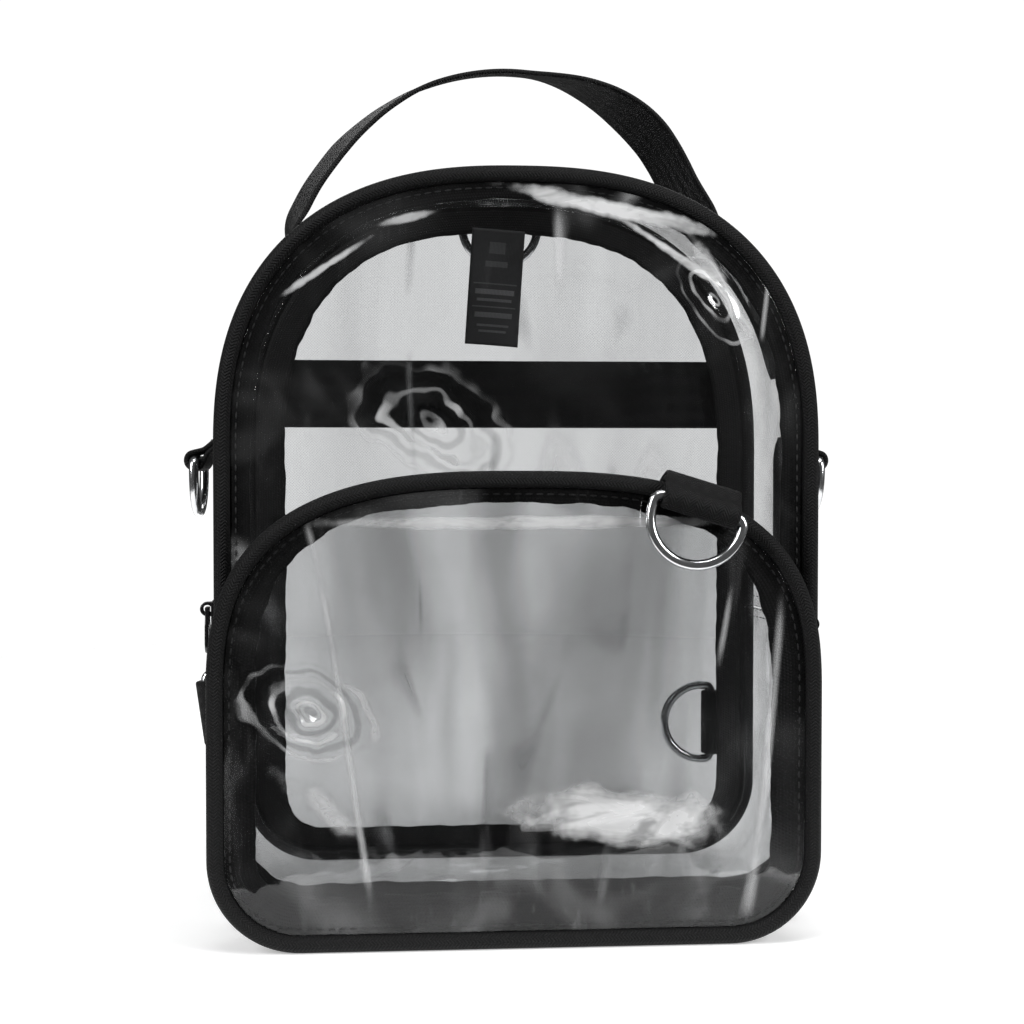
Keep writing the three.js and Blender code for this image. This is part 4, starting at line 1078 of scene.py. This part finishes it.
def build_seams():
    """Round piping, wavy seam tape and stitches round each panel."""
    s = sizes()
    rows = [
        {"seam": "front", "tape": s.front_tape, "facing": -1, "wave": 1.0, "finish": "seam_tape"},
        {"seam": "back", "tape": s.back_tape, "facing": 1, "wave": 1.0, "finish": "seam_tape"},
        {"seam": "pocket", "tape": s.pocket_tape, "facing": -1, "wave": 1.25, "finish": "pocket_tape"},
    ]
    for order, row in enumerate(rows):
        name, facing = row["seam"], row["facing"]
        seam = seams[name]
        points, across, out = seam.loop(560)
        profile = disc_profile(s.piping / 2, 20)
        cord = sweep(f"piping_{name}_cord", points, across, out, profile, "piping", True, "round")
        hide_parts(f"piping_{name}")
        count = 760
        points, across, out = seam.loop(count, 0.0, -facing * (s.film / 2 + 0.0004 + s.tape / 2))
        along = running_length(points)
        wave = 0.7 * waves(along, 0.0, 11 + order, 420) + 0.8 * waves(along, 0.0, 15 + order, 130)
        left, right, top_width, low_width = row["tape"]
        sideways, up = out[:, 0], out[:, 2]
        shown = np.where(sideways < 0, left, right) * sideways**2 + np.where(up > 0, top_width, low_width) * up**2
        reach = shown + 0.003 + s.tape_wave * row["wave"] * wave
        inset = 0.0024 + (reach - 0.0024)[:, None] * np.linspace(0, 1, 6)
        ripple = 0.0002 * np.sin(along / 0.0026)[:, None] * np.linspace(0, 1, 6)
        top = np.stack([s.tape / 2 + ripple, -inset], axis=-1)
        under = np.stack([ripple - s.tape / 2, -inset], axis=-1)[:, ::-1]
        profile = np.concatenate([top, under], axis=1)
        name_of_tape = f"seam_tape_{name}_weave"
        tape = sweep(name_of_tape, points, across, out, profile, row["finish"], True, "flat")
        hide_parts(f"seam_tape_{name}")
        count = int(seam.length[-1] / s.stitch)
        points, across, out = seam.loop(count, s.film_inset + 0.0016, facing * (s.film / 2 + s.thread * 0.35))
        face = np.tile([0.0, float(facing), 0.0], (count, 1))
        stitches(f"seam_stitches_{name}", points, np.cross(face, out), face)
    wall = walls["body"]
    for side, turn in (("right", 0), ("left", 1)):
        for order, z in enumerate((JOIN_Z + 0.0035, JOIN_Z - 0.0012, JOIN_Z - 0.0040)):
            place = wall.front.at_height(z)
            place = wall.last - place if turn else place
            stitch_join(f"join_stitches_{side}_{order + 1}", wall, place, 0.0007)


def smooth_path(points, count, power=0.5):
    """Smooth curve through points, evenly stepped."""
    points = np.asarray(points, dtype=float)
    closed = np.concatenate([2 * points[:1] - points[1:2], points, 2 * points[-1:] - points[-2:-1]])
    pieces = []
    for a, b, c, d in zip(closed, closed[1:], closed[2:], closed[3:]):
        t = np.linspace(0, 1, 16, endpoint=False)[:, None]
        pieces.append(
            0.5 * (2 * b + (c - a) * t + (2 * a - 5 * b + 4 * c - d) * t**2 + (3 * b - a - 3 * c + d) * t**3)
        )
    curve = np.concatenate([*pieces, points[-1:]])
    length = running_length(curve)
    at = np.linspace(0, length[-1], count)
    return np.stack([np.interp(at, length, curve[:, k]) for k in range(curve.shape[1])], axis=1)


# Middle of the handle between its sewn ends, seen from the front: places across and up
HANDLE_ARCH = [
    (-0.0741, 0.2280), (-0.0710, 0.2349), (-0.0672, 0.2419), (-0.0624, 0.2488), (-0.0570, 0.2556),
    (-0.0503, 0.2622), (-0.0420, 0.2688), (-0.0310, 0.2752), (-0.0180, 0.2795), (-0.0040, 0.2814),
    (0.0100, 0.2806), (0.0225, 0.2776), (0.0335, 0.2727), (0.0425, 0.2665), (0.0490, 0.2602),
    (0.0534, 0.2540), (0.0568, 0.2480), (0.0600, 0.2418), (0.0645, 0.2345),
]


def build_handle():
    s = sizes()
    wall = walls["body"]
    seam = wall.front
    lift = 0.0018
    low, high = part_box("handle")
    heights = np.linspace(low[2], 0.212, 8)
    right = np.array([wall.point(np.array([seam.at_height(z)]), np.array([s.carry_plane]), lift)[0] for z in heights])
    left = right * [-1, 1, 1]
    arch = np.array([(x, s.carry_plane, z) for x, z in HANDLE_ARCH])
    path = smooth_path(np.concatenate([left, arch, right[::-1]]), 240)
    ahead = np.gradient(path, axis=0)
    ahead /= np.linalg.norm(ahead, axis=1, keepdims=True)
    out = np.stack([-ahead[:, 2], np.zeros(len(path)), ahead[:, 0]], axis=1)
    free = np.clip((path[:, 2] - 0.216) / 0.018, 0, 1)
    free = free * free * (3 - 2 * free)
    top = np.clip((path[:, 2] - 0.255) / 0.022, 0, 1)
    right_side = np.clip((path[:, 0] - 0.005) / 0.045, 0, 1)
    right_side = right_side * right_side * (3 - 2 * right_side)
    lean = np.radians((18.5 - 7.0 * top) * (1 - right_side) - 19.0 * right_side) * free
    level = np.array([0.0, 1.0, 0.0])
    across = level * np.cos(lean)[:, None] + out * np.sin(lean)[:, None]
    out = out * np.cos(lean)[:, None] - level * np.sin(lean)[:, None]
    profile = np.repeat(strap_profile(s.webbing, s.webbing_thickness, 12, 4)[None], len(path), axis=0)
    end = np.minimum(np.arange(len(path)), np.arange(len(path))[::-1]) / 6
    profile[..., 0] *= (1 - 0.32 * np.clip(1 - end, 0, 1) ** 2)[:, None]
    strap = sweep("handle_strap", path, across, out, profile, "webbing")
    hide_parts("handle")
    build_box_stitches("handle_stitches", path, across, out, (3, 26), s)


def build_box_stitches(name, path, across, out, steps, s):
    """Box of stitches with a cross in it, near both ends of a strap."""
    half = s.webbing / 2 - 0.003
    a, b = steps
    centres, ways, outs = [], [], []
    for first, last in ((a, b), (len(path) - 1 - b, len(path) - 1 - a)):
        corners = [(first, -half), (last, -half), (last, half), (first, half), (first, -half), (last, half)]
        corners += [(last, -half), (first, half)]
        for (i, u), (j, v) in zip(corners, corners[1:]):
            run = np.linalg.norm(path[i] + across[i] * u - path[j] - across[j] * v)
            count = max(int(run / s.stitch), 2)
            for t in (np.arange(count) + 0.5) / count:
                step = i + (j - i) * t
                on = [np.array([np.interp(step, range(len(path)), f[:, k]) for k in range(3)]) for f in (path, across, out)]
                centres.append(on[0] + on[1] * (u + (v - u) * t) + on[2] * (s.webbing_thickness / 2 + 0.0001))
                ways.append(path[j] + across[j] * v - path[i] - across[i] * u)
                outs.append(on[2])
    ways = np.array(ways)
    ways /= np.linalg.norm(ways, axis=1, keepdims=True)
    outs = np.array(outs)
    outs -= ways * np.sum(outs * ways, axis=1, keepdims=True)
    outs /= np.linalg.norm(outs, axis=1, keepdims=True)
    return stitches(name, np.array(centres), ways, outs)


def build_side_strips():
    s = sizes()
    wall = walls["body"]
    for side, sign in (("left", -1), ("right", 1)):
        low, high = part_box(f"side_strip_{side}")
        heights = np.linspace(low[2], high[2], 60)
        places = np.array([wall.front.at_height(z) for z in heights])
        points, across, out = wall.run(places, s.carry_plane, 0.0018)
        mirror = np.array([sign, 1, 1])
        profile = np.repeat(strap_profile(s.webbing, s.webbing_thickness, 12, 4)[None], len(points), axis=0)
        to_end = (high[2] - heights) / 0.010
        profile[..., 0] *= np.sqrt(1 - np.clip(1 - to_end, 0, 0.93) ** 2.6)[:, None]
        strap = sweep(f"side_strap_{side}", points * mirror, across, out * mirror, profile, "webbing")
        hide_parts(f"side_strip_{side}")


def build_band():
    s = sizes()
    low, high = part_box("back_band")
    steps = np.linspace(-1, 1, 150)
    x = steps * high[0]
    middle = (low[2] + high[2]) / 2
    edge, centre = low[1] + s.webbing_thickness / 2, high[1] - s.webbing_thickness / 2
    bow = np.cos(math.pi / 2 * np.abs(steps)) ** 0.8
    ripple = 0.00012 * np.sin(x / 0.0041) + 0.00015 * np.sin(x / 0.0103)
    path = np.stack([x, edge + (centre - edge) * bow + ripple + 0.0002, np.full(len(x), middle)], axis=1)
    across = np.tile([0.0, 0.0, 1.0], (len(x), 1))
    out = np.tile([0.0, 1.0, 0.0], (len(x), 1))
    profile = strap_profile(s.webbing, s.webbing_thickness, 16, 4)
    strap = sweep("back_band_strap", path, across, out, profile, "band")
    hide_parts("back_band")
    for order, up in enumerate((0.0105, -0.0105)):
        count = int(2 * high[0] / s.stitch)
        place = np.linspace(-high[0], high[0], count + 2)[1:-1]
        y = np.interp(place, x, path[:, 1]) + s.webbing_thickness / 2
        points = np.stack([place, y, np.full(count, middle + up)], axis=1)
        along = np.tile([1.0, 0.0, 0.0], (count, 1))
        stitches(f"band_stitches_{order + 1}", points, along, np.tile([0.0, 1.0, 0.0], (count, 1)))


def ring_places():
    """Where each ring's bar is, which way the ring hangs, and how its tab runs from the bar."""
    s = sizes()
    joints = {joint["name"]: joint for joint in frame["joints"]}
    pivot = lambda name: np.array(joints[name]["pos_m"])
    slope, tilt, lean, loose = (math.radians(a) for a in (40, 17, 18, 8))
    back = np.array([0.0, 1.0, 0.0])
    up = np.array([0.0, 0.0, 1.0])
    inwards = np.array([math.cos(loose), 0, math.sin(loose)])
    front_up = np.array([math.sin(tilt), 0, math.cos(tilt)])
    rows = []
    for side, sign in (("left", -1), ("right", 1)):
        rows.append({
            "name": f"side_{side}", "body": f"{side}_ring", "at": pivot(f"{side}_ring_swing"),
            "across": back * sign, "up": up, "legs": "even", "reach": 0.0100,
            "along": np.array([-sign * math.cos(slope), 0, math.sin(slope)]),
            "out": np.array([sign * math.sin(slope), 0, math.cos(slope)]),
        })
    rows.append({
        "name": "front", "body": "front_ring", "at": pivot("front_ring_swing"),
        "across": np.array([math.cos(tilt), 0, -math.sin(tilt)]), "up": front_up,
        "legs": "over", "reach": 0.0145, "along": back, "out": front_up,
    })
    rows.append({
        "name": "back_top", "body": "back_top_ring", "at": pivot("back_top_ring_swing"),
        "across": np.array([-1.0, 0, 0]), "up": up, "legs": "flat", "reach": 0.0065, "along": up, "out": back,
    })
    rows.append({
        "name": "back_right", "body": "back_right_ring", "at": pivot("back_right_ring_swing"),
        "across": up, "up": np.array([1.0, 0, 0]), "legs": "flat", "reach": 0.0096,
        "along": np.array([1.0, 0, 0]), "out": back,
    })
    rows.append({
        "name": "back_left", "body": "back_left_ring", "at": pivot("back_left_ring_swing"),
        "across": np.array([math.sin(loose), 0, -math.cos(loose)]),
        "up": -(inwards * math.cos(lean) + back * math.sin(lean)),
        "legs": "climbing", "reach": 0.0195, "along": inwards, "out": back,
    })
    return rows


# Middle of a tab's webbing round a bar, in millimetres along and outwards, for each kind of tab
TAB_LOOP = [(0.0, -2.85), (-1.43, -2.47), (-2.47, -1.43), (-2.85, 0.0), (-2.47, 1.43), (-1.43, 2.47), (0.0, 2.85)]
TAB_LEGS = {
    "even": {"in": [(5.2, -0.82), (3.2, -1.5), (1.5, -2.35)], "out": [(1.5, 2.35), (3.2, 1.5), (5.2, 0.82)], "drop": 0.0},
    "flat": {"in": [(5.0, -2.85), (2.5, -2.85)], "out": [(1.6, 2.0), (3.2, 0.2), (4.6, -0.95)], "drop": -2.05},
}
TAB_OVER = {
    "in": [(14.3, 2.0), (11.0, 4.55), (6.6, 5.75), (4.2, 5.2), (3.1, 3.4), (2.85, 1.6), (2.85, 0.0), (2.1, -1.9)],
    "out": [(1.75, 4.1), (3.7, 6.3), (6.6, 7.35), (11.1, 6.05), (14.5, 3.6)],
}


def tab_path(kind, reach):
    """The tab's webbing from its sewn end, round the bar and back, in metres along and outwards."""
    if kind == "over":
        points = TAB_OVER["in"] + TAB_LOOP[:-1] + [(-0.6, 3.1)] + TAB_OVER["out"]
    else:
        legs = TAB_LEGS["even" if kind == "even" else "flat"]
        end = reach / MM
        stretch = [(end, 0.0)] if end > 5.6 else []
        if kind == "climbing":
            stretch = [(end, 0.95), (15.0, 0.95), (11.5, 0.75), (8.5, 0.1)]
        first = [(along, legs["drop"] - 0.81 + rise) for along, rise in stretch]
        last = [(along, legs["drop"] + 0.81 + rise) for along, rise in stretch[::-1]]
        points = first + legs["in"] + TAB_LOOP + legs["out"] + last
    return smooth_path(np.array(points) * MM, 72)


def build_rings():
    """Chrome rings and the webbing tabs that hold them."""
    s = sizes()
    radius = s.ring_inner / 2 + s.ring_wire / 2
    corner, straight = s.ring_corner, s.ring_straight
    reach = radius - corner
    turn = np.linspace(0, math.pi / 2, 8, endpoint=False)
    bow = np.linspace(0, math.pi, 49)
    outline = [(x, 0) for x in np.linspace(-reach, reach, 24, endpoint=False)]
    outline += [(reach + math.sin(a) * corner, (math.cos(a) - 1) * corner) for a in turn]
    outline += [(math.cos(a) * radius, -corner - straight - math.sin(a) * radius) for a in bow]
    outline += [(-reach - math.cos(a) * corner, (math.sin(a) - 1) * corner) for a in turn]
    outline = np.array(outline)
    for row in ring_places():
        across, up = row["across"], row["up"]
        facing = np.cross(across, up)
        path = row["at"] + outline[:, :1] * across + outline[:, 1:] * up
        ahead = np.roll(path, -1, axis=0) - np.roll(path, 1, axis=0)
        ahead /= np.linalg.norm(ahead, axis=1, keepdims=True)
        flat = np.tile(facing, (len(path), 1))
        profile = disc_profile(s.ring_wire / 2, 18)
        name = f"ring_{row['name']}"
        ring = sweep(f"{name}_wire", path, flat, np.cross(ahead, flat), profile, "chrome", True, "round", row["body"])
        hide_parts(name)
        build_tab(row)


def build_tab(row):
    s = sizes()
    line = tab_path(row["legs"], row["reach"])
    along, out = row["along"], row["out"]
    across = np.cross(along, out)
    path = row["at"] + line[:, :1] * along + line[:, 1:] * out
    ahead = np.gradient(path, axis=0)
    ahead /= np.linalg.norm(ahead, axis=1, keepdims=True)
    wide = np.tile(across, (len(path), 1))
    outwards = np.cross(wide, ahead)
    profile = strap_profile(s.tab_width, s.webbing_thickness, 12, 4)
    name = f"tab_{row['name']}"
    tab = sweep(f"{name}_strap", path, wide, outwards, profile, "webbing")
    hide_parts(name)
    last = path[-1] + (path[-12] - path[-1]) * 0.35
    count = int(s.tab_width / s.stitch) - 1
    shift = (np.arange(count) - (count - 1) / 2) * s.stitch
    top = outwards[-6] * (1 if np.dot(outwards[-6], out) > 0 else -1)
    points = last + shift[:, None] * across + top * (s.webbing_thickness / 2 + 0.0002)
    ways = np.tile(across, (count, 1))
    stitches(f"{name}_stitches", points, ways, np.tile(top, (count, 1)))


def build_hardware():
    """Sliders and pulls with rounded edges, over the CAD's shapes."""
    rows = [("zip_slider", BAG), ("zip_pull", "main_pull"), ("pocket_zip_slider", BAG), ("pocket_zip_pull", "pocket_pull")]
    for node, body in rows:
        solid = bmesh.new()
        solid.from_mesh(bpy.data.objects[node].data)
        solid.transform(bpy.data.objects[node].matrix_world)
        bmesh.ops.remove_doubles(solid, verts=solid.verts, dist=1e-6)
        bmesh.ops.dissolve_limit(solid, angle_limit=math.radians(2), verts=solid.verts, edges=solid.edges)
        mesh = bpy.data.meshes.new(f"{node}_enamel")
        solid.to_mesh(mesh)
        solid.free()
        mesh.materials.append(finish_named("enamel"))
        piece = bpy.data.objects.new(f"{node}_enamel", mesh)
        bpy.context.scene.collection.objects.link(piece)
        rounding = piece.modifiers.new("rounding", "BEVEL")
        rounding.width = 0.00028
        rounding.segments = 3
        rounding.limit_method = "ANGLE"
        rounding.angle_limit = math.radians(30)
        rounding.harden_normals = True
        mesh.polygons.foreach_set("use_smooth", [True] * len(mesh.polygons))
        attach(piece, body)
        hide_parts(node)


def build_label():
    s = sizes()
    width, height, thickness = 0.0195, 0.043, 0.0007
    low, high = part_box("label")
    tilt = math.radians(4)
    down = np.array([-math.sin(tilt), 0, -math.cos(tilt)])
    wide = np.array([math.cos(tilt), 0, -math.sin(tilt)])
    top = np.array([-0.001, high[1] - 0.0004, high[2] - 0.0007])
    v, u = np.meshgrid(np.linspace(0, 1, 44), np.linspace(-0.5, 0.5, 20), indexing="ij")
    curl = -0.0030 * v**2 - 0.0010 * (1 - (2 * u) ** 2) * v
    points = top + u[..., None] * width * wide + v[..., None] * height * down
    points[..., 1] += curl
    outer, inner = points.copy(), points.copy()
    outer[..., 1] -= thickness / 2
    inner[..., 1] += thickness / 2
    grid = np.stack([v * height, u * width], axis=-1)
    label = slab("label_weave", outer, inner, label_finish("label_weave", width, height), grid)
    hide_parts("label")


def build_stage():
    """Pale round floor, a world that is bright where the camera sees it, soft lights and the camera."""
    scene = bpy.context.scene
    studio = scene.bag_studio
    steps = np.linspace(0, 2 * math.pi, 96, endpoint=False)
    rings = [0.02, 0.25, 0.5, 0.75, 1.0]
    middle, reach = 0.35, 0.495
    vertices = [(0, middle, 0)]
    vertices += [(r * math.cos(a) * reach, middle + r * math.sin(a) * reach, 0) for r in rings for a in steps]
    faces = [(0, 1 + i, 1 + (i + 1) % 96) for i in range(96)]
    for ring in range(len(rings) - 1):
        a, b = 1 + ring * 96, 1 + (ring + 1) * 96
        faces += [(a + i, b + i, b + (i + 1) % 96, a + (i + 1) % 96) for i in range(96)]
    mesh = bpy.data.meshes.new("studio_floor")
    mesh.from_pydata(vertices, [], faces)
    paper, net = new_material("studio_paper")
    tone = tuple(colours().floor)
    grain = net.noise(30, 4)
    surface = {
        "Base Color": net.blend(grain, opaque(tone), opaque(tuple(c * 0.985 for c in tone))),
        "Roughness": 0.9,
        "Specular IOR Level": 0.1,
        "Emission Color": (1, 1, 1, 1),
        "Emission Strength": 0.33,
    }
    net.finish(net.add("ShaderNodeBsdfPrincipled", None, surface))
    mesh.materials.append(paper)
    floor = bpy.data.objects.new("studio_floor", mesh)
    scene.collection.objects.link(floor)

    scene.world = bpy.data.worlds.new("studio_air")
    net = Net(scene.world)
    seen = net.add("ShaderNodeLightPath", None, None, "Is Camera Ray")
    air = {"Color": (1, 1, 1, 1), "Strength": 0.07 + seen * 0.98}
    net.finish(net.add("ShaderNodeBackground", None, air), "ShaderNodeOutputWorld")

    lights = [
        {"name": "softbox_left", "at": (-0.85, -0.50, 0.55), "size": (0.22, 0.8), "power": 9.0},
        {"name": "softbox_right", "at": (0.80, -0.55, 0.50), "size": (0.20, 0.7), "power": 8.0},
        {"name": "softbox_top", "at": (0.10, -0.20, 1.05), "size": (0.8, 0.30), "power": 4.4},
        {"name": "softbox_back", "at": (0.1, 0.9, 0.75), "size": (1.2, 0.5), "power": 5.0},
    ]
    for row in lights:
        lamp = bpy.data.lights.new(row["name"], "AREA")
        lamp.shape = "RECTANGLE"
        lamp.size, lamp.size_y = row["size"]
        lamp.energy = row["power"]
        holder = bpy.data.objects.new(row["name"], lamp)
        holder.location = row["at"]
        look = Vector((0, 0, 0.13)) - Vector(row["at"])
        holder.rotation_euler = look.to_track_quat("-Z", "Y").to_euler()
        scene.collection.objects.link(holder)

    lens = bpy.data.cameras.new("camera")
    lens.lens = studio.lens
    lens.sensor_width = 36
    lens.clip_start = 0.01
    camera = bpy.data.objects.new("camera", lens)
    turn, rise = studio.azimuth, studio.elevation
    away = Vector((math.sin(turn) * math.cos(rise), -math.cos(turn) * math.cos(rise), math.sin(rise)))
    camera.location = Vector(studio.aim) + away * studio.range
    camera.rotation_euler = (-away).to_track_quat("-Z", "Y").to_euler()
    scene.collection.objects.link(camera)
    scene.camera = camera
    scene.view_settings.view_transform = "Standard"
    scene.cycles.transparent_max_bounces = 24
    scene.cycles.max_bounces = 4
    scene.cycles.diffuse_bounces = 2
    scene.cycles.glossy_bounces = 3


def build_webbing():
    build_side_strips()
    build_band()


class CLEARBAG_OT_seams(bpy.types.Operator):
    """Builds the piping, the wavy seam tape and the stitches of each seam"""

    bl_idname = "clear_bag.seams"
    bl_label = "Piping and seam tape"

    def execute(self, context):
        build_seams()
        return {"FINISHED"}


class CLEARBAG_OT_panels(bpy.types.Operator):
    """Builds the clear front, back and pocket panels"""

    bl_idname = "clear_bag.panels"
    bl_label = "Clear panels"

    def execute(self, context):
        build_panels()
        return {"FINISHED"}


class CLEARBAG_OT_gussets(bpy.types.Operator):
    """Builds the clear walls round the body"""

    bl_idname = "clear_bag.gussets"
    bl_label = "Clear gussets"

    def execute(self, context):
        build_gussets()
        return {"FINISHED"}


class CLEARBAG_OT_zippers(bpy.types.Operator):
    """Builds both zippers and the pocket's gusset"""

    bl_idname = "clear_bag.zippers"
    bl_label = "Zippers"

    def execute(self, context):
        build_zippers()
        return {"FINISHED"}


class CLEARBAG_OT_handle(bpy.types.Operator):
    """Builds the webbing handle with its sewn ends"""

    bl_idname = "clear_bag.handle"
    bl_label = "Handle"

    def execute(self, context):
        build_handle()
        return {"FINISHED"}


class CLEARBAG_OT_webbing(bpy.types.Operator):
    """Builds the side strips and the band across the back"""

    bl_idname = "clear_bag.webbing"
    bl_label = "Webbing"

    def execute(self, context):
        build_webbing()
        return {"FINISHED"}


class CLEARBAG_OT_rings(bpy.types.Operator):
    """Builds the chrome rings and the webbing tabs that hold them"""

    bl_idname = "clear_bag.rings"
    bl_label = "Rings and tabs"

    def execute(self, context):
        build_rings()
        return {"FINISHED"}


class CLEARBAG_OT_hardware(bpy.types.Operator):
    """Builds the sliders and pulls with rounded edges"""

    bl_idname = "clear_bag.hardware"
    bl_label = "Sliders and pulls"

    def execute(self, context):
        build_hardware()
        return {"FINISHED"}


class CLEARBAG_OT_label(bpy.types.Operator):
    """Builds the plain woven label inside the back"""

    bl_idname = "clear_bag.label"
    bl_label = "Label"

    def execute(self, context):
        build_label()
        return {"FINISHED"}


class CLEARBAG_OT_studio(bpy.types.Operator):
    """Builds the floor, lights and camera"""

    bl_idname = "clear_bag.studio"
    bl_label = "Studio"

    def execute(self, context):
        build_stage()
        return {"FINISHED"}


class CLEARBAG_PT_sidebar(bpy.types.Panel):
    """Lists the bag's sizes, colours and build steps."""

    bl_idname = "CLEARBAG_PT_sidebar"
    bl_label = "Clear Bag"
    bl_space_type = "VIEW_3D"
    bl_region_type = "UI"
    bl_category = "Clear Bag"

    def draw(self, context):
        layout = self.layout
        for group in (sizes(), colours(), context.scene.bag_studio):
            box = layout.box()
            for name in group.__annotations__:
                box.prop(group, name)
        for step in STEPS:
            layout.operator(step.bl_idname)


STEPS = (
    CLEARBAG_OT_seams,
    CLEARBAG_OT_panels,
    CLEARBAG_OT_gussets,
    CLEARBAG_OT_zippers,
    CLEARBAG_OT_handle,
    CLEARBAG_OT_webbing,
    CLEARBAG_OT_rings,
    CLEARBAG_OT_hardware,
    CLEARBAG_OT_label,
    CLEARBAG_OT_studio,
)
CLASSES = (BagSizes, BagColours, StudioSetup, *STEPS, CLEARBAG_PT_sidebar)


def register():
    for item in CLASSES:
        bpy.utils.register_class(item)
    bpy.types.Scene.bag_sizes = PointerProperty(type=BagSizes)
    bpy.types.Scene.bag_colours = PointerProperty(type=BagColours)
    bpy.types.Scene.bag_studio = PointerProperty(type=StudioSetup)


def unregister():
    del bpy.types.Scene.bag_studio
    del bpy.types.Scene.bag_colours
    del bpy.types.Scene.bag_sizes
    for item in reversed(CLASSES):
        bpy.utils.unregister_class(item)


def main():
    register()
    draw_seams()
    for step in STEPS:
        getattr(bpy.ops.clear_bag, step.bl_idname.split(".")[1])()


if __name__ == "__main__":
    main()
